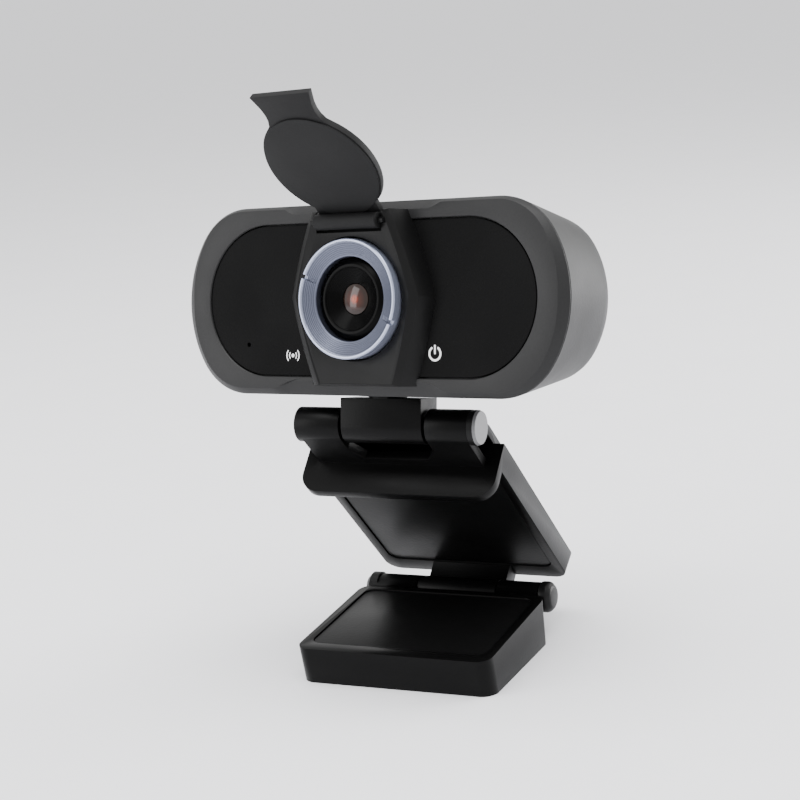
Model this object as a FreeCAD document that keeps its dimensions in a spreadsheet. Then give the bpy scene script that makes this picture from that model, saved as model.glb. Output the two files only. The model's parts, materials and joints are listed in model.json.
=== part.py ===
"""Webcam with a flip-up lens cover on a folding clip stand: a parametric assembly, in millimetres.

+Z is up, +Y points away from the user and X runs across the clip. The origin is the mouth of the tripod
socket, in the middle of the foot's flat underside. The head, the neck, the jaw and the lens cover are each
drawn in a frame of their own and set in place by a chain of placements, so a rest angle is one value.
"""

import FreeCAD, Part
import math
import os

import Sketcher

DIMENSIONS = {
    # Foot: a wedge with a rubber pad in its top and the clip hinge behind it.
    "foot_width": 45.3,
    "foot_length": 33.8,
    "foot_front_height": 8.3,
    "foot_rear_height": 10.5,
    "foot_nose": 1.4,
    "foot_corner": 3.2,
    "foot_wall": 1.6,
    "foot_rim": 2.0,
    "foot_floor": 1.4,
    "pad_depth": 1.0,
    "pad_sink": 0.25,
    "pad_corner": 2.6,
    "clip_hinge_back": 21.0,
    "clip_hinge_height": 8.7,
    "clip_barrel_radius": 3.2,
    "clip_barrel_half": 19.8,
    "clip_knuckle_half": 9.6,
    "clip_pin_radius": 1.5,
    "clip_head_radius": 3.5,
    "clip_head_thick": 3.0,
    "socket_radius": 2.6,
    "nut_radius": 4.8,
    "foot_screw_spread": 15.5,
    "foot_screw_reach": 11.0,
    # Jaw: the pad plate, the lip in front of it and the hollow arms that carry the tilt barrel.
    "jaw_open": 46.1,
    "jaw_width": 45.3,
    "jaw_front": 42.0,
    "jaw_rear": 7.0,
    "jaw_under": 8.2,
    "jaw_thick": 5.6,
    "jaw_corner": 3.4,
    "jaw_pad_rim": 2.2,
    "lip_thick": 2.2,
    "lip_drop": 0.8,
    "lip_corner": 4.5,
    "arm_wall": 2.0,
    "arm_half": 20.1,
    "arm_rise": 3.0,
    "arm_rear": 4.0,
    "recess_half": 10.0,
    "recess_base_half": 7.4,
    # Tilt hinge between the jaw's arms and the neck.
    "tilt_reach": 53.9,
    "tilt_height": 11.8,
    "tilt_barrel_radius": 3.75,
    "tilt_pin_radius": 1.5,
    "knuckle_half": 9.3,
    "rest_tilt": 12.6,
    "cap_thick": 0.6,
    "tilt_head_thick": 1.9,
    # Neck and swivel.
    "neck_depth": 8.2,
    "neck_top": 5.9,
    "post_radius": 4.1,
    "post_top": 13.6,
    "swivel_washer_radius": 6.2,
    "swivel_washer_thick": 0.8,
    "neck_gap": 0.5,
    "head_setback": 8.3,
    "rest_swivel": 10.5,
    # Head: the bezel, the front panel and the rear shell.
    "head_width": 97.4,
    "head_height": 40.0,
    "head_depth": 30.0,
    "end_reach": 16.1,
    "corner_radius": 14.5,
    "shell_draft": 9.6,
    "shell_round": 9.0,
    "shell_wall": 1.8,
    "bezel_front": 0.3,
    "seam_depth": 1.4,
    "skirt_depth": 2.6,
    "bezel_bevel": 0.9,
    "panel_margin_side": 6.9,
    "panel_margin_top": 4.0,
    "panel_ledge": 1.6,
    "mic_across": 31.1,
    "mic_down": 9.4,
    "mic_hole_radius": 0.5,
    "icon_across": 18.4,
    "icon_down": 11.4,
    "boss_radius": 6.8,
    # Lens plate, focus ring and lens.
    "plate_top_half": 11.4,
    "plate_mid_half": 18.1,
    "plate_low_half": 13.4,
    "plate_margin_top": 1.8,
    "plate_margin_low": 2.1,
    "plate_bevel": 3.6,
    "plate_proud": 4.7,
    "plate_slope": 3.5,
    "ring_radius": 12.4,
    "ring_front": 6.5,
    "ring_inner": 8.6,
    "ring_dish": 1.4,
    "ring_neck": 9.4,
    "ring_seat": 1.6,
    "ring_back": 1.2,
    "notch_width": 1.4,
    "notch_depth": 0.9,
    "notch_angle": 156.5,
    "hood_front": 4.6,
    "hood_mouth": 6.5,
    "hood_back": 1.6,
    "barrel_radius": 5.9,
    "barrel_back": 7.0,
    "glass_radius": 3.0,
    "glass_front": 3.2,
    "holder_radius": 7.4,
    "holder_base": 18.0,
    "board_front": 10.2,
    "board_thick": 1.6,
    "board_width": 66.0,
    "board_height": 19.5,
    "board_lift": 1.0,
    "board_screw_across": 28.0,
    "board_screw_down": 6.2,
    "gland_radius": 3.6,
    "gland_bore": 1.9,
    "gland_down": 4.0,
    # Lens cover, hinged at the top of the lens plate.
    "cover_hinge_front": 5.7,
    "cover_hinge_drop": 2.4,
    "cover_open": 133.6,
    "cover_disc_radius": 13.1,
    "cover_disc_drop": 13.2,
    "cover_length": 32.0,
    "cover_thick": 1.8,
    "cover_offset": 1.3,
    "cover_knuckle_radius": 1.7,
    "cover_knuckle_half": 8.0,
    "cover_root_half": 9.0,
    "cover_tab_half": 7.4,
    "cover_waist_half": 6.2,
    "cover_pin_radius": 0.6,
    # Shared fits.
    "running": 0.05,
    "clearance": 0.3,
    "screw_radius": 1.0,
    "screw_head_radius": 1.9,
    "screw_head_thick": 1.0,
}

doc = FreeCAD.newDocument("Webcam")
sheet = doc.addObject("Spreadsheet::Sheet", "Dims")
for row, (alias, number) in enumerate(DIMENSIONS.items(), start=1):
    sheet.set(f"A{row}", alias)
    sheet.set(f"B{row}", str(number))
    sheet.setAlias(f"B{row}", alias)
doc.recompute()


class Size:
    """A length worked out from the sheet: its number now, and the expression that keeps it true."""

    def __init__(self, number, text):
        self.number = number
        self.text = text

    @staticmethod
    def of(other):
        return other if isinstance(other, Size) else Size(float(other), repr(float(other)))

    def joined(self, other, sign, number):
        return Size(number, f"({self.text} {sign} {Size.of(other).text})")

    def __add__(self, other):
        return self.joined(other, "+", self.number + Size.of(other).number)

    def __sub__(self, other):
        return self.joined(other, "-", self.number - Size.of(other).number)

    def __mul__(self, other):
        return self.joined(other, "*", self.number * Size.of(other).number)

    def __truediv__(self, other):
        return self.joined(other, "/", self.number / Size.of(other).number)

    def __neg__(self):
        return Size(-self.number, f"(0 - {self.text})")

    def root(self):
        return Size(math.sqrt(self.number), f"sqrt({self.text})")


def dim(alias):
    """The sheet's value with this alias."""
    return Size(float(sheet.get(alias)), f"Dims.{alias}")


def bind(item, path, size):
    """Tie one property of an object to the sheet."""
    item.setExpression(path, Size.of(size).text)


def placed(base, axis="X", turn=0.0):
    """The expression of a placement: a shift, then a turn about one axis of its own."""
    ways = {"X": "1; 0; 0", "Y": "0; 1; 0", "Z": "0; 0; 1"}
    shift = "; ".join(Size.of(part).text for part in base)
    return f"placement(vector({shift}); rotation(vector({ways[axis]}); {Size.of(turn).text}))"


clip_hinge = (0, dim("clip_hinge_back"), dim("clip_hinge_height"))
head_rise = dim("neck_top") + dim("neck_gap") + dim("head_height") / 2
plate_top = dim("head_height") / 2 - dim("plate_margin_top")
plate_low = dim("head_height") / 2 - dim("plate_margin_low")
cover_up = plate_top - dim("cover_hinge_drop")
JAW = placed(clip_hinge, "X", -dim("jaw_open"))
NECK = (
    f"{JAW} * {placed((0, -dim('tilt_reach'), dim('tilt_height')), 'X', dim('jaw_open'))}"
    f" * {placed((0, 0, 0), 'X', -dim('rest_tilt'))}"
)
HEAD = (
    f"{NECK} * {placed((0, 0, head_rise), 'Z', -dim('rest_swivel'))}"
    f" * {placed((0, -dim('head_setback'), 0))}"
)
COVER = f"{HEAD} * {placed((0, -dim('cover_hinge_front'), cover_up), 'X', -dim('cover_open'))}"
FRAMES = {"foot": placed((0, 0, 0)), "jaw": JAW, "neck": NECK, "head": HEAD, "cover": COVER}

PLANES = {"XY": ("XY_Plane", 1), "XZ": ("XZ_Plane", -1), "YZ": ("YZ_Plane", 1)}
made = []


def new_body(name, frame):
    """A sub-part of its own: an empty body, set in one of the frames."""
    body = doc.addObject("PartDesign::Body", name)
    body.Label = name
    body.setExpression("Placement", FRAMES[frame])
    made.append(body)
    return body


def new_sketch(body, plane, level):
    """A sketch on one of the body's own planes, at a level along that plane's axis."""
    role, sign = PLANES[plane]
    sketch = body.newObject("Sketcher::SketchObject", f"{body.Name}_sketch")
    support = [feature for feature in body.Origin.OriginFeatures if feature.Role == role][0]
    sketch.AttachmentSupport = [(support, "")]
    sketch.MapMode = "FlatFace"
    bind(sketch, "AttachmentOffset.Base.z", Size.of(level) * sign)
    return sketch


def pin_point(sketch, index, end, point):
    """Hold one end of a sketch edge at a point."""
    for kind, coordinate in zip(("DistanceX", "DistanceY"), point):
        size = Size.of(coordinate)
        number = sketch.addConstraint(Sketcher.Constraint(kind, -1, 1, index, end, size.number))
        bind(sketch, f"Constraints[{number}]", size)


def draw_circle(sketch, centre, radius):
    """A whole circle, held at its centre."""
    middle = FreeCAD.Vector(*(Size.of(part).number for part in centre), 0)
    circle = Part.Circle(middle, FreeCAD.Vector(0, 0, 1), Size.of(radius).number)
    index = sketch.addGeometry(circle)
    pin_point(sketch, index, 3, centre)
    number = sketch.addConstraint(Sketcher.Constraint("Radius", index, Size.of(radius).number))
    bind(sketch, f"Constraints[{number}]", radius)


def draw_path(sketch, corners):
    """A closed outline, anticlockwise. A corner is (x, y), or (x, y, radius, centre) where an arc leaves it."""
    count = len(corners)
    spots = [FreeCAD.Vector(Size.of(c[0]).number, Size.of(c[1]).number, 0) for c in corners]
    ends = []
    for index, corner in enumerate(corners):
        start, stop = spots[index], spots[(index + 1) % count]
        if len(corner) == 2:
            sketch.addGeometry(Part.LineSegment(start, stop))
        else:
            radius = Size.of(corner[2])
            middle = FreeCAD.Vector(*(Size.of(part).number for part in corner[3]), 0)
            angles = [math.atan2(spot.y - middle.y, spot.x - middle.x) for spot in (start, stop)]
            circle = Part.Circle(middle, FreeCAD.Vector(0, 0, 1), radius.number)
            sketch.addGeometry(Part.ArcOfCircle(circle, angles[0], angles[1]))
            number = sketch.addConstraint(Sketcher.Constraint("Radius", index, radius.number))
            bind(sketch, f"Constraints[{number}]", radius)
        ends.append((index, 1))
        pin_point(sketch, index, 1, corner[:2])
    for index in range(count):
        follower = ends[(index + 1) % count]
        sketch.addConstraint(Sketcher.Constraint("Coincident", index, 2, follower[0], follower[1]))


def rounded(low, high, radius):
    """The corners of a rectangle with quarter rounds."""
    (x0, y0), (x1, y1) = [tuple(Size.of(part) for part in corner) for corner in (low, high)]
    return [
        (x0 + radius, y0),
        (x1 - radius, y0, radius, (x1 - radius, y0 + radius)),
        (x1, y0 + radius),
        (x1, y1 - radius, radius, (x1 - radius, y1 - radius)),
        (x1 - radius, y1),
        (x0 + radius, y1, radius, (x0 + radius, y1 - radius)),
        (x0, y1 - radius),
        (x0, y0 + radius, radius, (x0 + radius, y0 + radius)),
    ]


def stadium(half_width, half_height):
    """The corners of a slot shape: its ends are two quarter rounds each."""
    reach = half_width - half_height
    return [
        (-reach, -half_height),
        (reach, -half_height, half_height, (reach, 0)),
        (half_width, 0, half_height, (reach, 0)),
        (reach, half_height),
        (-reach, half_height, half_height, (-reach, 0)),
        (-half_width, 0, half_height, (-reach, 0)),
    ]


def head_outline(inset):
    """The head's outline seen from the front, drawn inward by an inset: flat top and bottom, bowed ends."""
    half, high = dim("head_width") / 2, dim("head_height") / 2
    corner, reach = dim("corner_radius"), dim("end_reach")
    flat, lift = half - reach, high - corner
    bow = (reach * reach + lift * lift - corner * corner) / ((reach - corner) * 2)
    centre = half - bow
    span = bow - corner
    across = centre + (bow - inset) * ((flat - centre) / span)
    up = (bow - inset) * (lift / span)
    small, large = corner - inset, bow - inset
    top = high - inset
    return [
        (-flat, -top),
        (flat, -top, small, (flat, -lift)),
        (across, -up, large, (centre, 0)),
        (across, up, small, (flat, lift)),
        (flat, top),
        (-flat, top, small, (-flat, lift)),
        (-across, up, large, (-centre, 0)),
        (-across, -up, small, (-flat, -lift)),
    ]


def outline_sketch(body, plane, level, outline):
    """A sketch of an outline: a list of corners, or (centre, radius) for a circle."""
    sketch = new_sketch(body, plane, level)
    if isinstance(outline, tuple):
        draw_circle(sketch, *outline)
    else:
        draw_path(sketch, outline)
    return sketch


def slab(body, plane, outline, low, high, draft=None):
    """Add an outline's material between two levels along the plane's axis. A draft narrows it going up."""
    low, high = Size.of(low), Size.of(high)
    backwards = PLANES[plane][1] < 0
    start = low if not backwards or draft is not None else high
    sketch = outline_sketch(body, plane, start, outline)
    pad = body.newObject("PartDesign::Pad", f"{body.Name}_pad")
    pad.Profile = sketch
    bind(pad, "Length", high - low)
    if draft is not None:
        pad.Reversed = backwards
        bind(pad, "TaperAngle", -draft)
    doc.recompute()
    return pad


def hollow(body, plane, outline, low, high, draft=None):
    """Take an outline's material away between two levels, and make sure that it cut something."""
    before = body.Shape.Volume
    low, high = Size.of(low), Size.of(high)
    backwards = PLANES[plane][1] < 0
    start = low if backwards or draft is not None else high
    sketch = outline_sketch(body, plane, start, outline)
    pocket = body.newObject("PartDesign::Pocket", f"{body.Name}_pocket")
    pocket.Profile = sketch
    bind(pocket, "Length", high - low)
    if draft is not None:
        pocket.Reversed = not backwards
        bind(pocket, "TaperAngle", -draft)
    doc.recompute()
    if before - body.Shape.Volume < 1e-3:
        raise ValueError(f"a pocket in {body.Name} cut nothing")
    return pocket


def turned(body, plane, outline, axis, cut=False):
    """Add, or take away, an outline turned about its sketch's own H_Axis or V_Axis."""
    before = body.Shape.Volume if cut else 0.0
    sketch = outline_sketch(body, plane, 0, outline)
    kind = "Groove" if cut else "Revolution"
    feature = body.newObject(f"PartDesign::{kind}", f"{body.Name}_{kind.lower()}")
    feature.Profile = sketch
    feature.ReferenceAxis = (sketch, [axis])
    feature.Angle = 360.0
    doc.recompute()
    if cut and before - body.Shape.Volume < 1e-3:
        raise ValueError(f"a groove in {body.Name} cut nothing")
    return feature


def edges_where(feature, test):
    """The names of the edges whose bounding box passes a test."""
    return [f"Edge{n}" for n, edge in enumerate(feature.Shape.Edges, start=1) if test(edge.BoundBox)]


def soften(body, feature, test, radius, kind="Fillet"):
    """Round or chamfer chosen edges of a body's last feature."""
    names = edges_where(feature, test)
    if not names:
        raise ValueError(f"no edge to soften on {body.Name}")
    dressed = body.newObject(f"PartDesign::{kind}", f"{body.Name}_{kind.lower()}")
    dressed.Base = (feature, names)
    bind(dressed, "Radius" if kind == "Fillet" else "Size", radius)
    doc.recompute()
    return dressed


def ring_profile(inner, outer, low, high):
    """Half the section of a tube, for turning about the sketch's vertical axis."""
    return [(inner, low), (outer, low), (outer, high), (inner, high)]


def drum(name, frame, parts, cuts=()):
    """A sub-part made of round slabs along the head's depth: (centre, radius, low, high) each."""
    body = new_body(name, frame)
    for centre, radius, low, high in parts:
        slab(body, "XZ", (centre, radius), low, high)
    for centre, radius, low, high in cuts:
        hollow(body, "XZ", (centre, radius), low, high)
    return body


def block(name, frame, low, high, plane="XZ"):
    """A plain rectangular sub-part between two corners."""
    body = new_body(name, frame)
    (x0, y0, z0), (x1, y1, z1) = low, high
    spans = {"XZ": ((x0, z0), (x1, z1), y0, y1), "XY": ((x0, y0), (x1, y1), z0, z1)}
    start, stop, near, far = spans[plane]
    slab(body, plane, [start, (stop[0], start[1]), stop, (start[0], stop[1])], near, far)
    return body


def cylinder(label, base, axis, turn, radius, length):
    """One loose cylinder, for a group of fasteners."""
    item = doc.addObject("Part::Cylinder", label)
    bind(item, "Radius", radius)
    bind(item, "Height", length)
    item.setExpression("Placement", placed(base, axis, turn))
    return item


def group(name, frame, items):
    """Loose solids kept together as one sub-part."""
    fused = doc.addObject("Part::MultiFuse", name)
    fused.Shapes = items
    fused.Label = name
    fused.setExpression("Placement", FRAMES[frame])
    made.append(fused)
    return fused


def mirrored(half):
    """Both signs of a distance across the middle."""
    return (-half, half)


clearance, running = dim("clearance"), dim("running")
screw, screw_head = dim("screw_radius"), dim("screw_head_radius")
head_thick = dim("screw_head_thick")

# ---------------------------------------------------------------- foot
foot_half = dim("foot_width") / 2
foot_back = dim("foot_length") / 2
foot_tip = -(foot_back + dim("foot_nose"))
foot_slope = (dim("foot_rear_height") - dim("foot_front_height")) / (foot_back - foot_tip)
hinge_back, hinge_up = dim("clip_hinge_back"), dim("clip_hinge_height")
hinge_radius = dim("clip_barrel_radius")
pad_well = dim("pad_depth") + dim("pad_sink")
cavity_top = dim("foot_front_height") - pad_well - dim("foot_wall")
foot_screw_places = [
    (across, along) for across in mirrored(dim("foot_screw_spread")) for along in mirrored(dim("foot_screw_reach"))
]


def foot_top(along):
    """The height of the foot's sloping top at a distance along it."""
    return dim("foot_front_height") + foot_slope * (along - foot_tip)


def top_strip(front, back, deep, shallow):
    """A strip that follows the sloping top, between two depths under it."""
    return [
        (front, foot_top(front) - deep),
        (back, foot_top(back) - deep),
        (back, foot_top(back) - shallow),
        (front, foot_top(front) - shallow),
    ]


def upright(box, height=0.4):
    """True of an edge that runs up and down, or nearly."""
    return box.XLength < 1e-3 and box.ZLength > height and box.ZLength > box.YLength


foot_shell = new_body("foot_shell", "foot")
wedge = slab(
    foot_shell,
    "YZ",
    [(-foot_back, 0), (foot_back, 0), (foot_back, foot_top(foot_back)), (foot_tip, foot_top(foot_tip))],
    -foot_half,
    foot_half,
)
soften(foot_shell, wedge, upright, dim("foot_corner"))
rim_front, rim_back = foot_tip + dim("foot_rim") + dim("foot_nose"), foot_back - dim("foot_rim")
rim_side = foot_half - dim("foot_rim")
well = hollow(foot_shell, "YZ", top_strip(rim_front, rim_back, pad_well, -clearance), -rim_side, rim_side)
soften(
    foot_shell,
    well,
    lambda box: upright(box) and abs(box.XMin) < rim_side.number + 0.01 and box.ZMin > cavity_top.number,
    dim("pad_corner"),
)
for side in (-1, 1):
    inner, outer = (dim("clip_knuckle_half") + clearance) * side, dim("clip_barrel_half") * side
    low_x, high_x = (inner, outer) if side > 0 else (outer, inner)
    slab(foot_shell, "YZ", ((hinge_back, hinge_up), hinge_radius), low_x, high_x)
    slab(
        foot_shell,
        "YZ",
        [
            (foot_back - dim("foot_rim"), hinge_up - hinge_radius),
            (hinge_back, hinge_up - hinge_radius),
            (hinge_back, hinge_up + hinge_radius),
            (foot_back, foot_top(foot_back) - clearance),
            (foot_back - dim("foot_rim"), foot_top(foot_back) - clearance * 2),
        ],
        low_x,
        high_x,
    )
hollow(
    foot_shell,
    "YZ",
    ((hinge_back, hinge_up), dim("clip_pin_radius") + running),
    -foot_half,
    foot_half,
)
cavity_side, cavity_end = foot_half - dim("foot_wall"), foot_back - dim("foot_wall")
hollow(
    foot_shell,
    "XY",
    rounded((-cavity_side, -cavity_end), (cavity_side, cavity_end), dim("foot_corner") - dim("foot_wall") / 2),
    0,
    cavity_top,
)
for place in foot_screw_places:
    slab(foot_shell, "XY", (place, screw + dim("foot_floor") * 0.8), dim("foot_floor"), cavity_top)
for place in foot_screw_places:
    hollow(foot_shell, "XY", (place, screw), dim("foot_floor"), cavity_top - 0.4)

cover_side, cover_end = cavity_side - running * 2, cavity_end - running * 2
foot_cover = new_body("foot_cover", "foot")
slab(
    foot_cover,
    "XY",
    rounded((-cover_side, -cover_end), (cover_side, cover_end), dim("foot_corner") - dim("foot_wall") / 2),
    0,
    dim("foot_floor"),
)
hollow(foot_cover, "XY", ((0, 0), dim("nut_radius") + running), 0, dim("foot_floor"))
for place in foot_screw_places:
    hollow(foot_cover, "XY", (place, screw_head + running * 2), 0, dim("foot_floor") * 0.6)
    hollow(foot_cover, "XY", (place, screw + running * 2), 0, dim("foot_floor"))

foot_screw_length = cavity_top - 0.6 - dim("foot_floor") * 0.6
foot_screws = []
for number, (across, along) in enumerate(foot_screw_places, start=1):
    head_base = (across, along, running * 2)
    shank_base = (across, along, dim("foot_floor") * 0.6)
    foot_screws.append(
        cylinder(f"foot_head_{number}", head_base, "Z", 0, screw_head, dim("foot_floor") * 0.6 - running * 2)
    )
    foot_screws.append(cylinder(f"foot_shank_{number}", shank_base, "Z", 0, screw, foot_screw_length))
group("foot_screws", "foot", foot_screws)

tripod_nut = new_body("tripod_nut", "foot")
turned(tripod_nut, "XZ", ring_profile(dim("socket_radius"), dim("nut_radius"), 0, cavity_top), "V_Axis")

foot_pad = new_body("foot_pad", "foot")
pad_block = slab(
    foot_pad,
    "YZ",
    top_strip(rim_front + running * 2, rim_back - running * 2, pad_well, dim("pad_sink")),
    -(rim_side - running * 2),
    rim_side - running * 2,
)
soften(foot_pad, pad_block, lambda box: upright(box), dim("pad_corner") - running * 2)

FRAMES["hinge"] = placed(clip_hinge)
pin_head_in = dim("clip_barrel_half") + running * 2
pin_head_out = pin_head_in + dim("clip_head_thick")
pin_dome = dim("clip_head_thick") * 0.35
clip_pin = new_body("clip_pin", "hinge")
turned(
    clip_pin,
    "XZ",
    [
        (-pin_head_in, 0),
        (pin_head_out, 0),
        (pin_head_out, dim("clip_head_radius") - pin_dome),
        (pin_head_out - pin_dome, dim("clip_head_radius")),
        (pin_head_in, dim("clip_head_radius")),
        (pin_head_in, dim("clip_pin_radius")),
        (-pin_head_in, dim("clip_pin_radius")),
    ],
    "H_Axis",
)
clip_pin_cap = new_body("clip_pin_cap", "hinge")
turned(
    clip_pin_cap,
    "XZ",
    [
        (-pin_head_out, 0),
        (-pin_head_in, 0),
        (-pin_head_in, dim("clip_head_radius")),
        (-(pin_head_out - pin_dome), dim("clip_head_radius")),
        (-pin_head_out, dim("clip_head_radius") - pin_dome),
    ],
    "H_Axis",
)

# ---------------------------------------------------------------- jaw
jaw_half = dim("jaw_width") / 2
front, rear = -dim("jaw_front"), dim("jaw_rear")
under = dim("jaw_under")
over = under + dim("jaw_thick")
lip_face = front - dim("lip_thick")
tilt_back, tilt_up = -dim("tilt_reach"), dim("tilt_height")
tilt_radius = dim("tilt_barrel_radius")
arm_low, arm_high = tilt_up - tilt_radius, over + dim("arm_rise")
wall = dim("arm_wall")
arm_end = front + dim("arm_rear")
bend = tilt_back + tilt_radius * 2

upper_jaw = new_body("upper_jaw", "jaw")
plate = slab(
    upper_jaw,
    "YZ",
    [
        (lip_face, dim("lip_drop")),
        (front, dim("lip_drop")),
        (front, under),
        (rear - clearance * 2, under),
        (rear + clearance * 2, over),
        (lip_face, over),
    ],
    -jaw_half,
    jaw_half,
)
lip_round = soften(
    upper_jaw,
    plate,
    lambda box: box.ZMax < dim("lip_drop").number + 0.01 and box.YLength > 1 and box.XLength < 0.01,
    dim("lip_corner"),
)
soften(
    upper_jaw,
    lip_round,
    lambda box: upright(box, 3) and box.YMin > 0,
    dim("jaw_corner"),
)
for side in (-1, 1):
    inner, outer = dim("knuckle_half") + clearance, dim("arm_half")
    barrel_end = outer + clearance * 1.5 if side < 0 else outer - clearance * 2.5
    low_x, high_x = (inner, outer) if side > 0 else (-outer, -inner)
    barrel_span = (inner, barrel_end) if side > 0 else (-barrel_end, -inner)
    slab(upper_jaw, "YZ", ((tilt_back, tilt_up), tilt_radius), *barrel_span)
    arm_x = (Size.of(0), outer - clearance * 2.5) if side > 0 else (-(outer - clearance * 2.5), Size.of(0))
    slab(
        upper_jaw,
        "YZ",
        [(tilt_back, arm_low), (lip_face + 0.5, arm_low), (lip_face + 0.5, arm_low + wall), (tilt_back, arm_low + wall)],
        *arm_x,
    )
    slab(
        upper_jaw,
        "YZ",
        [
            (tilt_back, tilt_up + tilt_radius - wall),
            (bend, arm_high - wall),
            (arm_end - wall, arm_high - wall),
            (arm_end - wall, over - 0.5),
            (arm_end + wall, over - 0.5),
            (arm_end, arm_high),
            (bend, arm_high),
            (tilt_back, tilt_up + tilt_radius),
        ],
        *arm_x,
    )
recess_end = tilt_back + tilt_radius * 2
hollow(
    upper_jaw,
    "XY",
    [
        (-dim("recess_half"), tilt_back - tilt_radius * 2),
        (dim("recess_half"), tilt_back - tilt_radius * 2),
        (dim("recess_half"), tilt_back + tilt_radius),
        (dim("recess_base_half"), recess_end),
        (-dim("recess_base_half"), recess_end),
        (-dim("recess_half"), tilt_back + tilt_radius),
    ],
    arm_low - clearance,
    arm_high + clearance,
)
hollow(upper_jaw, "YZ", ((tilt_back, tilt_up), dim("tilt_pin_radius") + running), -jaw_half, jaw_half)
knuckle = dim("clip_knuckle_half")
slab(upper_jaw, "YZ", ((0, 0), hinge_radius), -knuckle, knuckle)
slab(
    upper_jaw,
    "YZ",
    [
        (hinge_radius * 0.5, 0),
        (hinge_radius, 0),
        (rear - clearance * 2, under - hinge_radius),
        (rear - clearance * 2, under + 0.5),
        (hinge_radius * 0.6, under + 0.5),
    ],
    -knuckle,
    knuckle,
)
hollow(upper_jaw, "YZ", ((0, 0), dim("clip_pin_radius") + running), -knuckle - 1, knuckle + 1)
jaw_pad_side = jaw_half - dim("jaw_pad_rim")
jaw_pad_back = hinge_radius * 0.6 - clearance
jaw_pad_well = rounded(
    (-jaw_pad_side, front + dim("jaw_pad_rim")), (jaw_pad_side, jaw_pad_back), dim("pad_corner")
)
hollow(upper_jaw, "XY", jaw_pad_well, under, under + pad_well)

jaw_pad = new_body("jaw_pad", "jaw")
slab(
    jaw_pad,
    "XY",
    rounded(
        (-(jaw_pad_side - running * 2), front + dim("jaw_pad_rim") + running * 2),
        (jaw_pad_side - running * 2, jaw_pad_back - running * 2),
        dim("pad_corner") - running * 2,
    ),
    under + dim("pad_sink"),
    under + pad_well,
)

FRAMES["tilt"] = f"{JAW} * {placed((0, tilt_back, tilt_up))}"
bush_in = dim("arm_half") - clearance * 2.5 + running
bush_out = bush_in + dim("tilt_head_thick")
pin_tail = dim("arm_half") + clearance * 1.5
tilt_pin = new_body("tilt_pin", "tilt")
turned(
    tilt_pin,
    "XZ",
    [
        (-pin_tail, 0),
        (bush_out - dim("cap_thick"), 0),
        (bush_out - dim("cap_thick"), tilt_radius - running),
        (bush_in, tilt_radius - running),
        (bush_in, dim("tilt_pin_radius")),
        (-pin_tail, dim("tilt_pin_radius")),
    ],
    "H_Axis",
)
tilt_cap = new_body("tilt_cap", "tilt")
turned(
    tilt_cap,
    "XZ",
    [
        (bush_out - dim("cap_thick"), 0),
        (bush_out, 0),
        (bush_out, tilt_radius - clearance),
        (bush_out - dim("cap_thick"), tilt_radius - running),
    ],
    "H_Axis",
)

# ---------------------------------------------------------------- neck
neck_half = dim("knuckle_half")
neck = new_body("neck_bracket", "neck")
slab(neck, "YZ", ((0, 0), tilt_radius), -neck_half, neck_half)
neck_back = dim("neck_depth") - tilt_radius
slab(
    neck,
    "YZ",
    [(-tilt_radius, 0), (neck_back * 0.6, 0), (neck_back, tilt_radius * 0.5), (neck_back, dim("neck_top")), (-tilt_radius, dim("neck_top"))],
    -neck_half,
    neck_half,
)
slab(neck, "XY", ((0, 0), dim("post_radius")), dim("neck_top"), dim("post_top") - dim("swivel_washer_thick") * 3)
hollow(neck, "YZ", ((0, 0), dim("tilt_pin_radius") + running), -neck_half, neck_half)
post_end = dim("post_top") - dim("swivel_washer_thick") * 3
hollow(neck, "XY", ((0, 0), screw), dim("neck_top"), post_end)
swivel_washer = new_body("swivel_washer", "neck")
turned(
    swivel_washer,
    "XZ",
    ring_profile(screw + running, dim("swivel_washer_radius"), post_end, post_end + dim("swivel_washer_thick")),
    "V_Axis",
)
swivel_screw_items = [
    cylinder("swivel_head", (0, 0, post_end + dim("swivel_washer_thick")), "Z", 0, screw_head, head_thick),
    cylinder("swivel_shank", (0, 0, dim("neck_top") + 0.2), "Z", 0, screw, post_end - dim("neck_top") + 0.6),
]
group("swivel_screw", "neck", swivel_screw_items)

# ---------------------------------------------------------------- head casing
def plate_outline(grow, rise):
    """The lens plate's six-sided outline, widest at the lens: grown at its sides, and at top and bottom."""
    top_half, mid_half, low_half = (dim(f"plate_{name}_half") + grow for name in ("top", "mid", "low"))
    over, below = plate_top + rise, plate_low + rise
    return [
        (-low_half, -below),
        (low_half, -below),
        (mid_half, 0),
        (top_half, over),
        (-top_half, over),
        (-mid_half, 0),
    ]


half_wide = dim("head_width") / 2 - dim("panel_margin_side")
half_high = dim("head_height") / 2 - dim("panel_margin_top")
seam, shell_wall = dim("seam_depth"), dim("shell_wall")
skirt_inset = shell_wall + dim("skirt_depth") * 0.22 + running
skirt_back = seam + dim("skirt_depth")
boss_out = dim("head_width") / 2 - shell_wall - dim("panel_ledge") * 4.9
boss_end = seam + dim("head_depth") * 0.68
bezel = new_body("front_bezel", "head")
face = slab(bezel, "XZ", head_outline(Size.of(0)), -dim("bezel_front"), seam)
soften(
    bezel,
    face,
    lambda box: box.YLength < 1e-3 and abs(box.YMin + dim("bezel_front").number) < 1e-3,
    dim("bezel_bevel"),
    "Chamfer",
)
slab(bezel, "XZ", head_outline(skirt_inset), seam, skirt_back)
hollow(bezel, "XZ", stadium(half_wide + running * 2, half_high + running * 2), -dim("bezel_front"), seam)
hollow(bezel, "XZ", plate_outline(running * 2, running * 2), -dim("bezel_front"), 0)
hollow(
    bezel,
    "XZ",
    stadium(half_wide - dim("panel_ledge"), half_high - dim("panel_ledge")),
    seam,
    skirt_back,
)
gap_half = dim("boss_radius") + clearance * 2
gap_low, gap_high = -(dim("head_height") / 2), -(half_high - dim("panel_ledge") - 1)
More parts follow.
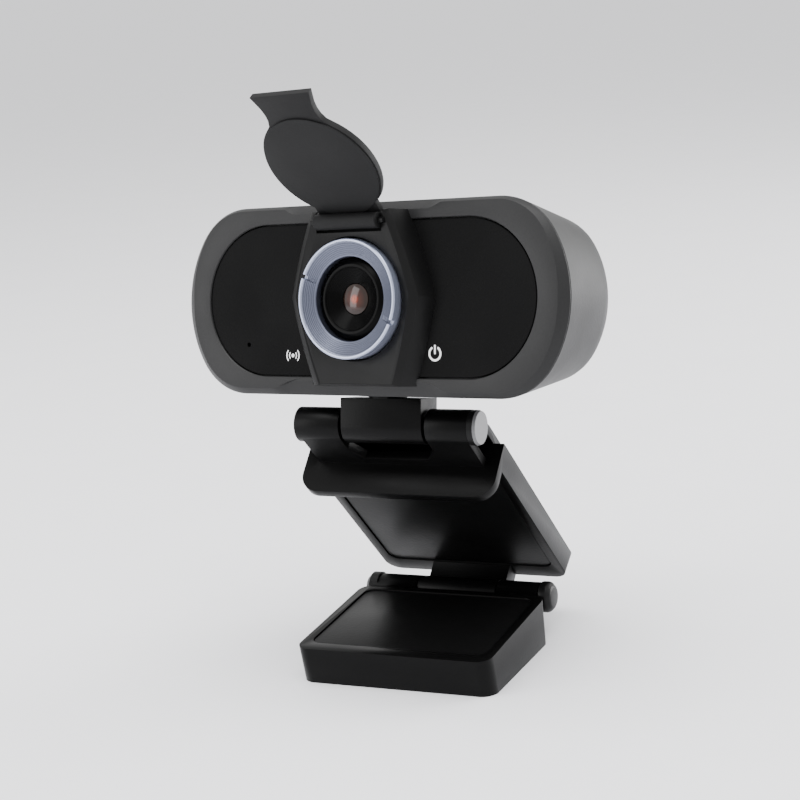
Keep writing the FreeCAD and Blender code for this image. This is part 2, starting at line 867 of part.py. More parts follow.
hollow(
    bezel,
    "XZ",
    [(-gap_half, gap_low), (gap_half, gap_low), (gap_half, gap_high), (-gap_half, gap_high)],
    seam,
    skirt_back,
)
for across in mirrored(boss_out):
    slab(bezel, "XZ", ((across, 0), screw * 2.6), seam, boss_end)
for across in mirrored(boss_out):
    hollow(bezel, "XZ", ((across, 0), screw), boss_end - screw * 8, boss_end)

lens_hole = dim("ring_neck") + 1.2
icon_places = [(across, -dim("icon_down")) for across in mirrored(dim("icon_across"))]
mic_place = (-dim("mic_across"), -dim("mic_down"))
panel = new_body("front_panel", "head")
slab(panel, "XZ", stadium(half_wide, half_high), 0, seam)
hollow(panel, "XZ", ((0, 0), lens_hole), 0, seam)
hollow(panel, "XZ", (mic_place, dim("mic_hole_radius")), 0, seam)

depth = dim("head_depth")
shell_mid = seam + (depth - seam) * 0.74
board_back = dim("board_front") + dim("board_thick")
swivel_axis = (0, dim("head_setback"))
boss_low = -(dim("head_height") / 2)
boss_high = -(head_rise - post_end) - clearance
board_screw_places = [
    (across, up)
    for across in mirrored(dim("board_screw_across"))
    for up in (dim("board_lift") - dim("board_screw_down"), dim("board_lift") + dim("board_screw_down"))
]
shell = new_body("rear_shell", "head")
hull = slab(shell, "XZ", head_outline(Size.of(0)), seam, depth, dim("shell_draft"))
soften(
    shell,
    hull,
    lambda box: box.YLength < 1e-3 and abs(box.YMin - depth.number) < 1e-3,
    dim("shell_round"),
)
hollow(shell, "XZ", head_outline(shell_wall), seam, shell_mid, dim("shell_draft"))
hollow(
    shell,
    "XZ",
    head_outline(shell_wall + dim("shell_round") - shell_wall * 0.5),
    seam,
    depth - shell_wall,
)
for across, up in board_screw_places:
    slab(shell, "XZ", ((across, up), screw * 2.4), board_back, depth - shell_wall * 0.5)
for across, up in board_screw_places:
    hollow(shell, "XZ", ((across, up), screw), board_back, board_back + screw * 6)
slab(shell, "XY", (swivel_axis, dim("boss_radius")), boss_low, boss_high)
hollow(shell, "XY", (swivel_axis, dim("post_radius") + running), boss_low, boss_high)
for across in mirrored(boss_out):
    hollow(shell, "XZ", ((across, 0), screw + running * 2), boss_end, depth)
    hollow(shell, "XZ", ((across, 0), screw_head + running * 4), depth - screw * 4, depth)
gland_place = (0, -dim("gland_down"))
hollow(shell, "XZ", (gland_place, dim("gland_radius") + running), depth - shell_wall * 2, depth)

drum(
    "cable_gland",
    "head",
    [
        (gland_place, dim("gland_radius") + 1.2, depth - shell_wall - 1, depth - shell_wall),
        (gland_place, dim("gland_radius"), depth - shell_wall, depth),
        (gland_place, dim("gland_radius") + 0.9, depth, depth + 1),
    ],
    [(gland_place, dim("gland_bore"), depth - shell_wall - 1, depth + 1)],
)
case_screws = []
for number, across in enumerate(mirrored(boss_out), start=1):
    shank_start = (across, boss_end - screw * 7, 0)
    shank_length = depth - screw * 4 - boss_end + screw * 7
    head_start = (across, depth - screw * 4, 0)
    case_screws.append(cylinder(f"case_shank_{number}", shank_start, "X", -90, screw, shank_length))
    case_screws.append(cylinder(f"case_head_{number}", head_start, "X", -90, screw_head, head_thick))
group("case_screws", "head", case_screws)

# ---------------------------------------------------------------- lens plate and lens cover hinge
proud, slope = dim("plate_proud") + dim("plate_slope") * 0.55, dim("plate_slope")

lens_plate = new_body("lens_plate", "head")
plate_root = outline_sketch(lens_plate, "XZ", 0, plate_outline(0, 0))
plate_face = outline_sketch(lens_plate, "XZ", -proud, plate_outline(-dim("plate_bevel"), 0))
plate_loft = lens_plate.newObject("PartDesign::AdditiveLoft", "lens_plate_loft")
plate_loft.Profile = plate_root
plate_loft.Sections = [plate_face]
plate_loft.Ruled = True
doc.recompute()
hollow(
    lens_plate,
    "YZ",
    [
        (-proud - 1, -plate_low - 1),
        (-proud + slope, -plate_low - 1),
        (-proud, plate_top),
        (-proud - 1, plate_top),
    ],
    -dim("plate_mid_half"),
    dim("plate_mid_half"),
)
slab(lens_plate, "XZ", ((0, 0), dim("ring_neck") + 1), 0, seam)
ring_seat = dim("ring_seat")
hollow(lens_plate, "XZ", ((0, 0), dim("ring_radius") + clearance), -proud - 1, -(ring_seat - clearance))
hollow(lens_plate, "XZ", ((0, 0), dim("ring_neck") + running), -proud - 1, seam)
cover_front = dim("cover_hinge_front")
slot_half = dim("cover_knuckle_half") + clearance
slot_low = dim("ring_radius") + clearance * 4
hollow(
    lens_plate,
    "XZ",
    [(-slot_half, slot_low), (slot_half, slot_low), (slot_half, plate_top + 1), (-slot_half, plate_top + 1)],
    -proud - 1,
    -cover_front + dim("cover_knuckle_radius") + clearance * 5,
)
hollow(
    lens_plate,
    "YZ",
    ((-cover_front, cover_up), dim("cover_pin_radius") + running),
    -dim("plate_mid_half"),
    dim("plate_mid_half"),
)
cover_pin_half = slot_half + clearance * 3
FRAMES["cover_axis"] = f"{HEAD} * {placed((0, -cover_front, cover_up))}"
cover_pin = new_body("cover_pin", "cover_axis")
turned(
    cover_pin,
    "XZ",
    [
        (-cover_pin_half, 0),
        (cover_pin_half, 0),
        (cover_pin_half, dim("cover_pin_radius")),
        (-cover_pin_half, dim("cover_pin_radius")),
    ],
    "H_Axis",
)

# ---------------------------------------------------------------- lens cover
inner_face, outer_face = -dim("cover_offset"), -(dim("cover_offset") + dim("cover_thick"))
cover_flap = new_body("cover_flap", "cover")
slab(cover_flap, "XZ", ((0, -dim("cover_disc_drop")), dim("cover_disc_radius")), outer_face, inner_face)
knuckle_half = dim("cover_knuckle_half")
root_half, waist, tab = dim("cover_root_half"), dim("cover_waist_half"), dim("cover_tab_half")
root_level = dim("cover_knuckle_radius") * 2
slab(
    cover_flap,
    "XZ",
    [(-root_half, -dim("cover_disc_drop")), (root_half, -dim("cover_disc_drop")), (root_half, -root_level), (-root_half, -root_level)],
    outer_face,
    inner_face,
)
slab(
    cover_flap,
    "XZ",
    [
        (-tab, -dim("cover_length")),
        (tab, -dim("cover_length")),
        (waist, -(dim("cover_disc_drop") + dim("cover_disc_radius") * 0.85)),
        (-waist, -(dim("cover_disc_drop") + dim("cover_disc_radius") * 0.85)),
    ],
    outer_face,
    inner_face,
)
slab(cover_flap, "YZ", ((0, 0), dim("cover_knuckle_radius")), -knuckle_half, knuckle_half)
slab(
    cover_flap,
    "YZ",
    [
        (outer_face, -root_level - 0.5),
        (inner_face, -root_level - 0.5),
        (inner_face, -dim("cover_knuckle_radius") * 1.2),
        (-0.6, -dim("cover_knuckle_radius") * 0.9),
        (-0.2, dim("cover_knuckle_radius") * 0.6),
        (-dim("cover_knuckle_radius"), dim("cover_knuckle_radius") * 0.3),
        (outer_face, -dim("cover_knuckle_radius")),
    ],
    -knuckle_half,
    knuckle_half,
)
hollow(
    cover_flap, "YZ", ((0, 0), dim("cover_pin_radius") + running), -knuckle_half, knuckle_half
)

# ---------------------------------------------------------------- focus ring and lens
ring_front, ring_out = dim("ring_front"), dim("ring_radius")
focus_ring = new_body("focus_ring", "head")
turned(
    focus_ring,
    "YZ",
    [
        (-(ring_front - dim("ring_dish")), dim("ring_inner")),
        (dim("ring_back"), dim("ring_inner")),
        (dim("ring_back"), dim("ring_neck")),
        (-ring_seat, dim("ring_neck")),
        (-ring_seat, ring_out),
        (-(ring_front - 0.3), ring_out),
        (-ring_front, ring_out - 0.4),
    ],
    "H_Axis",
)
angle = dim("notch_angle")
cosine = Size(math.cos(math.radians(angle.number)), f"cos({angle.text})")
sine = Size(math.sin(math.radians(angle.number)), f"sin({angle.text})")
notch_half = dim("notch_width") / 2


def notch_corner(reach, offset):
    """A corner of a notch: a distance out along its angle, and a distance to the side."""
    return (cosine * reach - sine * offset, sine * reach + cosine * offset)


notch_in, notch_out = ring_out - 2.6, ring_out + 1
for sign in (1, -1):
    near, far = notch_in * sign, notch_out * sign
    side = notch_half * sign
    hollow(
        focus_ring,
        "XZ",
        [
            notch_corner(near, -side),
            notch_corner(far, -side),
            notch_corner(far, side),
            notch_corner(near, side),
        ],
        -ring_front - 1,
        -(ring_front - dim("notch_depth")),
    )

hood_front, hood_back = dim("hood_front"), dim("hood_back")
glass_edge = dim("glass_radius") + clearance * 0.5
lens_hood = new_body("lens_hood", "head")
turned(
    lens_hood,
    "YZ",
    [
        (-dim("glass_front") + 0.2, glass_edge),
        (-hood_back, glass_edge),
        (-hood_back, dim("ring_inner") - clearance),
        (-(hood_front + 0.3), dim("ring_inner") - clearance),
        (-(hood_front - 0.1), dim("hood_mouth") + 0.8),
        (-hood_front, dim("hood_mouth")),
    ],
    "H_Axis",
)
lens_barrel = new_body("lens_barrel", "head")
turned(
    lens_barrel,
    "YZ",
    [
        (-hood_back, glass_edge),
        (dim("barrel_back"), glass_edge),
        (dim("barrel_back"), dim("barrel_radius")),
        (-hood_back, dim("barrel_radius")),
    ],
    "H_Axis",
)
glass_out = dim("glass_radius") + clearance * 0.4
sag = Size.of(0.5)
glass_bow = (glass_out * glass_out + sag * sag) / (sag * 2)
glass_low = -(dim("glass_front") + 0.2)
front_glass = new_body("front_glass", "head")
turned(
    front_glass,
    "YZ",
    [
        (glass_low, 0),
        (-hood_back + 0.6, 0),
        (-hood_back + 0.6, glass_out),
        (glass_low + sag, glass_out, glass_bow, (glass_low + glass_bow, 0)),
    ],
    "H_Axis",
)
drum("rear_lens", "head", [((0, 0), glass_out, dim("barrel_back") - 3, dim("barrel_back") - 1)])

board_front = dim("board_front")
holder_half = dim("holder_base") / 2
holder_floor = dim("barrel_back") + clearance
cavity_half = Size.of(4.4)
lens_holder = new_body("lens_holder", "head")
slab(
    lens_holder,
    "XZ",
    rounded((-holder_half, -holder_half), (holder_half, holder_half), 1.5),
    board_front - 2,
    board_front,
)
slab(lens_holder, "XZ", ((0, 0), dim("holder_radius")), -0.4, board_front - 2)
hollow(lens_holder, "XZ", ((0, 0), dim("barrel_radius") + running), -0.4, holder_floor)
hollow(
    lens_holder,
    "XZ",
    [
        (-cavity_half, -cavity_half),
        (cavity_half, -cavity_half),
        (cavity_half, cavity_half),
        (-cavity_half, cavity_half),
    ],
    holder_floor,
    board_front,
)
chip = Size.of(4.2)
block("ir_filter", "head", (-chip, holder_floor + 0.1, -chip), (chip, holder_floor + 0.6, chip))
block("image_sensor", "head", (-4, board_front - 1.1, -4), (4, board_front, 4))

board_half = dim("board_width") / 2
board_low = dim("board_lift") - dim("board_height") / 2
board_top = dim("board_lift") + dim("board_height") / 2
board = new_body("main_board", "head")
slab(
    board,
    "XZ",
    rounded((-board_half, board_low), (board_half, board_top), 2),
    board_front,
    board_back,
)
for place in board_screw_places:
    hollow(board, "XZ", (place, screw + running * 2), board_front, board_back)
board_screws = []
for number, (across, up) in enumerate(board_screw_places, start=1):
    head_start = (across, board_front - head_thick, up)
    board_screws.append(cylinder(f"board_head_{number}", head_start, "X", -90, screw_head, head_thick))
    shank_start = (across, board_front, up)
    board_screws.append(
        cylinder(f"board_shank_{number}", shank_start, "X", -90, screw, dim("board_thick") + screw * 4)
    )
group("board_screws", "head", board_screws)

capsule_front = board_front - 4.2
drum("microphone", "head", [(mic_place, Size.of(2.0), capsule_front, board_front)])
drum(
    "mic_boot",
    "head",
    [(mic_place, Size.of(2.5), seam, capsule_front)],
    [(mic_place, dim("mic_hole_radius"), seam, capsule_front)],
)
light_pipes = []
status_leds = []
for number, (across, up) in enumerate(icon_places, start=1):
    pipe_start = (across, seam, up)
    led_start = (across, board_front - 1.2, up)
    light_pipes.append(cylinder(f"pipe_{number}", pipe_start, "X", -90, 1.7, board_front - seam - 1.2))
    status_leds.append(cylinder(f"led_{number}", led_start, "X", -90, 1.2, 1.2))
group("light_pipes", "head", light_pipes)
group("status_leds", "head", status_leds)
block("cable_header", "head", (-5, board_back, -7), (5, board_back + 4.5, -2.5))

# ---------------------------------------------------------------- check and write
doc.recompute()
for item in doc.Objects:
    if "Invalid" in item.State or "Error" in item.State:
        raise ValueError(f"{item.Name} failed: {item.State}")
os.makedirs("parts", exist_ok=True)
for item in made:
    shape = item.Shape
    if shape.isNull() or not shape.isValid() or not shape.Solids:
        raise ValueError(f"{item.Label} has no sound solid")
    shape.exportStep(f"parts/{item.Label}.step")
    box = shape.BoundBox
    print(
        f"{item.Label:16s} {len(shape.Solids)} solid(s)  {box.XLength:6.1f} x {box.YLength:5.1f} x {box.ZLength:5.1f}"
        f"  {shape.Volume / 1000:7.3f} cm3"
    )
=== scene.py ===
# %% [markdown]
# # A webcam with a flip-up lens cover
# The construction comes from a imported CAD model: every hinge, pin and wall is already in its real place.
# This lesson dresses that frame. Each step makes one piece or one finish, in metres, in the frame's own
# axes.

# %% Load the frame
import json
import math

import bmesh
import bpy
from mathutils import Matrix, Vector


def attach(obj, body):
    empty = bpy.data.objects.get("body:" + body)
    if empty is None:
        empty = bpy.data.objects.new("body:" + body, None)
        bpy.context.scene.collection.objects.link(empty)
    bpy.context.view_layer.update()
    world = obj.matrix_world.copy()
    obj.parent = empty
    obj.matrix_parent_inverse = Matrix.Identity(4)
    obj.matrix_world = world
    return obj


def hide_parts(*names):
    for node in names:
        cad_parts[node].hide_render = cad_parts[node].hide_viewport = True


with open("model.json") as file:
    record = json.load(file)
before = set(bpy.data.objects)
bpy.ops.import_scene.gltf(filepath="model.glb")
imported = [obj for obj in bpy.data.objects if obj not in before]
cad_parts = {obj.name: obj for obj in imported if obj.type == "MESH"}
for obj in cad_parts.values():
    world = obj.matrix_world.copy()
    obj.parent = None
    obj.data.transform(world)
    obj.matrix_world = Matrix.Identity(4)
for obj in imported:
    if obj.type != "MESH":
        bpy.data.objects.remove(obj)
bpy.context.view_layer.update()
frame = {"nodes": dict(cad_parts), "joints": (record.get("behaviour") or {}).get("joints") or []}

MM = 0.001

# %% [markdown]
# The head is tilted back and turned a little on its neck, so nothing on it lies along the world's axes.
# Drawing it there would be hard to read. A local frame fixes that: its origin and axes come from the
# joints, a piece is drawn square in it, and one matrix then carries the mesh to its place.

# %% Local frames
joints = {joint["name"]: joint for joint in frame["joints"]}


def local_frame(origin, across, back):
    """A frame at an origin whose X runs across and whose Y runs back, with Z up from the two."""
    across, back = Vector(across).normalized(), Vector(back).normalized()
    turn = Matrix((across, back, across.cross(back))).transposed()
    return Matrix.Translation(Vector(origin)) @ turn.to_4x4() @ Matrix.Scale(MM, 4)


COVER_ANGLE = math.radians(133.6)
HEAD = local_frame(joints["focus_turn"]["pos_m"], joints["cover_flip"]["axis"], joints["focus_turn"]["axis"])
COVER = (
    local_frame(joints["cover_flip"]["pos_m"], joints["cover_flip"]["axis"], joints["focus_turn"]["axis"])
    @ Matrix.Rotation(-COVER_ANGLE, 4, "X")
)
print("head centre", [round(value, 4) for value in HEAD.translation])

# %% [markdown]
# ## The camera and the light
# The view comes first, so that every later choice can be judged in it. It is a long lens a little to the
# right of the head and level with it, set down in the head's own frame.

# %% Camera
camera_data = bpy.data.cameras.new("camera")
camera_data.lens = 85.5
camera_data.sensor_width = 36
camera = bpy.data.objects.new("camera", camera_data)
bpy.context.scene.collection.objects.link(camera)
bpy.context.scene.camera = camera
camera_right = Vector((0.810, 0.586, 0.0)).normalized()
camera_ahead = Vector((-0.586, 0.810, -0.032)).normalized()
camera_up = camera_right.cross(camera_ahead)
head_turn = HEAD.to_3x3() * (1 / MM)
camera_turn = Matrix(
    (head_turn @ camera_right, head_turn @ camera_up, -(head_turn @ camera_ahead))
).transposed()
camera.matrix_world = Matrix.Translation(HEAD @ Vector((236.0, -313.6, -8.2))) @ camera_turn.to_4x4()
print("camera at", [round(value, 3) for value in camera.location])

# %% [markdown]
# Black plastic shows almost nothing of its own colour: what it shows is the room. So the light is built
# from large soft panels. A tall one on the right draws the bright sides, a broad one above draws the top
# bevels, and a dim one on the left leaves the soft sheen on the pad.

# %% Floor and light
def soft_panel(name, place, target, size, power):
    """A large square area light that looks from a place at a target."""
    data = bpy.data.lights.new(name, "AREA")
    data.shape = "RECTANGLE"
    data.size, data.size_y = size
    data.energy = power
    panel = bpy.data.objects.new(name, data)
    bpy.context.scene.collection.objects.link(panel)
    panel.location = Vector(place)
    panel.rotation_euler = (Vector(target) - Vector(place)).to_track_quat("-Z", "Y").to_euler()
    return panel


aim = (0.0, 0.0, 0.07)
soft_panel("right_panel", (0.62, 0.52, 0.08), aim, (0.6, 0.7), 17.0)
soft_panel("top_panel", (0.0, -0.15, 0.85), aim, (0.9, 0.7), 12.0)
soft_panel("left_panel", (-0.55, -0.45, 0.25), aim, (0.25, 0.5), 2.0)

world = bpy.data.worlds.new("studio")
bpy.context.scene.world = world
world.use_nodes = True
world.node_tree.nodes["Background"].inputs["Color"].default_value = (1.0, 1.0, 1.0, 1.0)
world.node_tree.nodes["Background"].inputs["Strength"].default_value = 1.35
print("three panels and a pale world")

# %% [markdown]
# ## Building blocks for meshes
# Three small helpers make most pieces: one turns a profile about an axis, one joins a stack of outlines
# that have the same number of points, and one carries a finished mesh to its place and hands it to the
# frame.

# %% Mesh helpers
def turned(profile, steps=96, closed=True):
    """A mesh swept round local Y from (depth, radius) points, facing out for a back-to-front path."""
    shape = bmesh.new()
    rings = []
    for depth, radius in profile:
        if radius < 1e-6:
            rings.append([shape.verts.new((0.0, depth, 0.0))])
            continue
        angles = [2 * math.pi * step / steps for step in range(steps)]
        rings.append([shape.verts.new((radius * math.cos(a), depth, radius * math.sin(a))) for a in angles])
    pairs = list(zip(rings, rings[1:] + rings[:1])) if closed else list(zip(rings, rings[1:]))
    for first, second in pairs:
        if len(first) == 1 and len(second) == 1:
            continue
        for step in range(steps):
            after = (step + 1) % steps
            if len(first) == 1:
                shape.faces.new((first[0], second[step], second[after]))
            elif len(second) == 1:
                shape.faces.new((first[step], second[0], first[after]))
            else:
                shape.faces.new((first[step], second[step], second[after], first[after]))
    bmesh.ops.recalc_face_normals(shape, faces=shape.faces)
    return shape


def lofted(rings, cap_first=True, cap_last=True):
    """A mesh through rings of points that match one to one."""
    shape = bmesh.new()
    rows = [[shape.verts.new(point) for point in ring] for ring in rings]
    for first, second in zip(rows, rows[1:]):
        for step in range(len(first)):
            after = (step + 1) % len(first)
            shape.faces.new((first[step], first[after], second[after], second[step]))
    if cap_first:
        shape.faces.new(rows[0])
    if cap_last:
        shape.faces.new(list(reversed(rows[-1])))
    bmesh.ops.recalc_face_normals(shape, faces=shape.faces)
    return shape


def as_object(name, shape, place):
    """Turn a bmesh drawn in a local frame into an object whose place is in its mesh."""
    mesh = bpy.data.meshes.new(name)
    shape.to_mesh(mesh)
    shape.free()
    mesh.transform(place)
    piece = bpy.data.objects.new(name, mesh)
    bpy.context.scene.collection.objects.link(piece)
    return piece


def settle(piece):
    """Apply a piece's modifiers, so that only a plain mesh is left."""
    graph = bpy.context.evaluated_depsgraph_get()
    plain = bpy.data.meshes.new_from_object(piece.evaluated_get(graph))
    piece.modifiers.clear()
    piece.data = plain
    return piece


def soften(piece, width, angle=28, segments=2):
    """Round a piece's hard edges a little, so that they catch the light, and shade the rest smooth."""
    bevel = piece.modifiers.new("edges", "BEVEL")
    bevel.width = width * MM
    bevel.segments = segments
    bevel.limit_method = "ANGLE"
    bevel.angle_limit = math.radians(angle)
    bevel.use_clamp_overlap = True
    settle(piece)
    for face in piece.data.polygons:
        face.use_smooth = True
    piece.data.set_sharp_from_angle(angle=math.radians(40))
    return piece


def cut(piece, *tools):
    """Take tool shapes out of a piece, and remove the tools."""
    for tool in tools:
        knife = piece.modifiers.new("cut", "BOOLEAN")
        knife.operation = "DIFFERENCE"
        knife.solver = "EXACT"
        knife.object = tool
        settle(piece)
        bpy.data.objects.remove(tool)
    return piece


def box_tool(low, high, place):
    """A plain box between two corners, for cutting."""
    shape = bmesh.new()
    bmesh.ops.create_cube(shape, size=1.0)
    for vert in shape.verts:
        vert.co = Vector(
            (low[axis] + high[axis]) / 2 + vert.co[axis] * (high[axis] - low[axis]) for axis in range(3)
        )
    return as_object("tool", shape, place)


def hand_over(piece, body, slot, material, *replaced):
    """Give a piece its material and its body, and hide the CAD nodes that it stands for; slot is not used.
    """
    piece.data.materials.clear()
    piece.data.materials.append(material)
    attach(piece, body)
    if replaced:
        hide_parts(*replaced)
    return piece


print("helpers ready")

# %% [markdown]
# ## Surface effects shared by the finishes
# Moulded plastic is never quite even. A fine spark-eroded grain breaks up its highlights, and handling
# leaves it slightly glossier in soft patches. Both are node groups, so every finish can use them at its own
# scale.

# %% Shader groups
def new_group(name, numbers, outputs):
    """A shader node group with float inputs and named outputs, and its own object coordinates."""
    group = bpy.data.node_groups.new(name, "ShaderNodeTree")
    for label, value in numbers.items():
        socket = group.interface.new_socket(label, in_out="INPUT", socket_type="NodeSocketFloat")
        socket.default_value = value
    for label, kind in outputs.items():
        group.interface.new_socket(label, in_out="OUTPUT", socket_type=kind)
    nodes = group.nodes
    start, end = nodes.new("NodeGroupInput"), nodes.new("NodeGroupOutput")
    coordinates = nodes.new("ShaderNodeTexCoord")
    return group, start, end, coordinates


def grain_group():
    """Fine moulded grain: a height for Bump, and a mask for small shifts of tone."""
    group, start, end, coordinates = new_group(
        "moulded_grain",
        {"Scale": 2200.0, "Detail": 2.0},
        {"Height": "NodeSocketFloat", "Mask": "NodeSocketFloat"},
    )
    nodes, links = group.nodes, group.links
    cells = nodes.new("ShaderNodeTexVoronoi")
    cells.feature = "SMOOTH_F1"
    cloud = nodes.new("ShaderNodeTexNoise")
    blend = nodes.new("ShaderNodeMath")
    blend.operation = "MULTIPLY_ADD"
    blend.inputs[1].default_value = 0.6
    for texture in (cells, cloud):
        links.new(coordinates.outputs["Object"], texture.inputs["Vector"])
        links.new(start.outputs["Scale"], texture.inputs["Scale"])
        links.new(start.outputs["Detail"], texture.inputs["Detail"])
    links.new(cells.outputs["Distance"], blend.inputs[0])
    links.new(cloud.outputs["Fac"], blend.inputs[2])
    links.new(blend.outputs[0], end.inputs["Height"])
    links.new(cloud.outputs["Fac"], end.inputs["Mask"])
    return group


def patches_group():
    """Slow soft patches from handling, between two values."""
    group, start, end, coordinates = new_group(
        "handled_patches", {"Scale": 60.0, "Low": 0.4, "High": 0.5}, {"Value": "NodeSocketFloat"}
    )
    nodes, links = group.nodes, group.links
    cloud = nodes.new("ShaderNodeTexNoise")
    cloud.inputs["Detail"].default_value = 3.0
    spread = nodes.new("ShaderNodeMapRange")
    spread.inputs["From Min"].default_value = 0.35
    spread.inputs["From Max"].default_value = 0.65
    links.new(coordinates.outputs["Object"], cloud.inputs["Vector"])
    links.new(start.outputs["Scale"], cloud.inputs["Scale"])
    links.new(cloud.outputs["Fac"], spread.inputs["Value"])
    links.new(start.outputs["Low"], spread.inputs["To Min"])
    links.new(start.outputs["High"], spread.inputs["To Max"])
    links.new(spread.outputs["Result"], end.inputs["Value"])
    return group


GRAIN, PATCHES = grain_group(), patches_group()
print("groups:", GRAIN.name, PATCHES.name)

# %% [markdown]
# ## Finishes
# One function makes a moulded finish: two close tones mixed by the grain, a roughness that wanders between
# two values, and a shallow bump. The numbers that stay the same all over sit on the shader's own sockets.

# %% Moulded finishes
def moulded(name, dark, light, roughness, grain=2200.0, bump=0.15, metallic=0.0, coat=0.0, specular=0.5):
    """A moulded or painted finish between two tones, with a grain and a wandering gloss."""
    material = bpy.data.materials.new(name)
    material.use_nodes = True
    nodes, links = material.node_tree.nodes, material.node_tree.links
    shader = nodes["Principled BSDF"]
    shader.inputs["Metallic"].default_value = metallic
    shader.inputs["Coat Weight"].default_value = coat
    shader.inputs["Coat Roughness"].default_value = 0.12
    shader.inputs["Specular IOR Level"].default_value = specular
    texture = nodes.new("ShaderNodeGroup")
    texture.node_tree = GRAIN
    texture.inputs["Scale"].default_value = grain
    patches = nodes.new("ShaderNodeGroup")
    patches.node_tree = PATCHES
    patches.inputs["Low"].default_value, patches.inputs["High"].default_value = roughness
    tone = nodes.new("ShaderNodeMix")
    tone.data_type = "RGBA"
    tone.inputs["A"].default_value = (*dark, 1.0)
    tone.inputs["B"].default_value = (*light, 1.0)
    relief = nodes.new("ShaderNodeBump")
    relief.inputs["Strength"].default_value = bump
    relief.inputs["Distance"].default_value = 0.00012
    links.new(texture.outputs["Mask"], tone.inputs["Factor"])
    links.new(tone.outputs["Result"], shader.inputs["Base Color"])
    links.new(patches.outputs["Value"], shader.inputs["Roughness"])
    links.new(texture.outputs["Height"], relief.inputs["Height"])
    links.new(relief.outputs["Normal"], shader.inputs["Normal"])
    return material


def grey(value):
    """A neutral tone, a trace cooler than grey."""
    return (value, value, value * 1.03)


finishes = {
    "shell": moulded("satin_shell", grey(0.011), grey(0.014), (0.42, 0.50), specular=0.20),
    "panel": moulded(
        "textured_panel",
        grey(0.002),
        grey(0.0032),
        (0.55, 0.65),
        grain=2600.0,
        bump=0.30,
        specular=0.06,
    ),
    "plate": moulded("facet_plate", grey(0.003), grey(0.0045), (0.34, 0.42), bump=0.08, specular=0.12),
    "cover": moulded("matt_cover", grey(0.008), grey(0.011), (0.55, 0.62), bump=0.10, specular=0.12),
    "clip": moulded("satin_clip", grey(0.001), grey(0.0018), (0.30, 0.38), bump=0.10, specular=0.09),
    "pin": moulded("pin_plastic", grey(0.003), grey(0.005), (0.34, 0.42), bump=0.06, specular=0.14),
    "cap": moulded("grey_cap", grey(0.10), grey(0.13), (0.40, 0.46), bump=0.05),
    "pad": moulded(
        "pad_rubber",
        grey(0.002),
        grey(0.003),
        (0.32, 0.40),
        grain=1500.0,
        bump=0.12,
        specular=0.10,
    ),
    "ring": moulded(
        "pearl_ring",
        (0.20, 0.22, 0.29),
        (0.25, 0.27, 0.35),
        (0.28, 0.36),
        bump=0.04,
        metallic=0.75,
    ),
    "lens_black": moulded("lens_black", grey(0.0005), grey(0.001), (0.22, 0.28), bump=0.03, specular=0.05),
    "steel": moulded(
        "zinc_steel",
        (0.50, 0.50, 0.52),
        (0.60, 0.60, 0.62),
        (0.28, 0.36),
        bump=0.05,
        metallic=1.0,
    ),
    "brass": moulded("turned_brass", (0.62, 0.46, 0.20), (0.72, 0.56, 0.28), (0.24, 0.32), metallic=1.0),
    "board": moulded("green_board", (0.008, 0.10, 0.04), (0.014, 0.14, 0.06), (0.25, 0.32), coat=0.4),
    "sensor": moulded("dark_chip", (0.03, 0.03, 0.07), (0.06, 0.05, 0.12), (0.12, 0.18)),
    "soft_rubber": moulded("soft_rubber", grey(0.010), grey(0.014), (0.60, 0.70), bump=0.15),
    "clear_pipe": moulded("clear_pipe", (0.62, 0.66, 0.70), (0.72, 0.75, 0.78), (0.10, 0.16)),
    "lamp": moulded("lamp_white", (0.75, 0.75, 0.68), (0.85, 0.85, 0.78), (0.20, 0.28)),
    "cream": moulded("cream_header", (0.60, 0.56, 0.45), (0.68, 0.64, 0.52), (0.34, 0.42)),
    "glass": moulded(
        "coated_glass",
        (0.012, 0.004, 0.004),
        (0.030, 0.010, 0.006),
        (0.03, 0.06),
        grain=500.0,
        bump=0.0,
        coat=0.3,
        specular=0.2,
    ),
    "filter": moulded(
        "red_filter",
        (0.10, 0.015, 0.02),
        (0.14, 0.02, 0.03),
        (0.04, 0.08),
        grain=500.0,
        bump=0.0,
        coat=0.6,
    ),
    "print": moulded("white_print", (0.80, 0.80, 0.80), (0.88, 0.88, 0.88), (0.45, 0.55), bump=0.02),
    "floor": moulded("pale_floor", grey(0.84), grey(0.87), (0.70, 0.80), grain=40.0, bump=0.0),
}
print(len(finishes), "finishes")

# %% [markdown]
# The ring and the front glass have light painted into their colour, by distance from the lens's axis: a
# painted highlight on the ring's bright rim round a darker, finely turned cone that carries painted
# highlight and shade bands, and a red-brown painted reflection in the middle of a dark glass. One group
# measures that distance, and a ramp sets the tone from it.

# %% Tones by distance from the lens's axis
def axis_distance_group():
    """A shader group: the distance in metres of a point from an axis through a centre."""
    group = bpy.data.node_groups.new("axis_distance", "ShaderNodeTree")
    for label in ("Centre", "Axis"):
        group.interface.new_socket(label, in_out="INPUT", socket_type="NodeSocketVector")
    group.interface.new_socket("Distance", in_out="OUTPUT", socket_type="NodeSocketFloat")
    nodes, links = group.nodes, group.links
    start, end = nodes.new("NodeGroupInput"), nodes.new("NodeGroupOutput")
    spot = nodes.new("ShaderNodeTexCoord")
    steps = [nodes.new("ShaderNodeVectorMath") for _ in range(3)]
    for step, operation in zip(steps, ("SUBTRACT", "CROSS_PRODUCT", "LENGTH")):
        step.operation = operation
    away, crossed, length = steps
    links.new(spot.outputs["Object"], away.inputs[0])
    links.new(start.outputs["Centre"], away.inputs[1])
    links.new(away.outputs["Vector"], crossed.inputs[0])
    links.new(start.outputs["Axis"], crossed.inputs[1])
    links.new(crossed.outputs["Vector"], length.inputs[0])
    links.new(length.outputs["Value"], end.inputs["Distance"])
    return group


AXIS_DISTANCE = axis_distance_group()


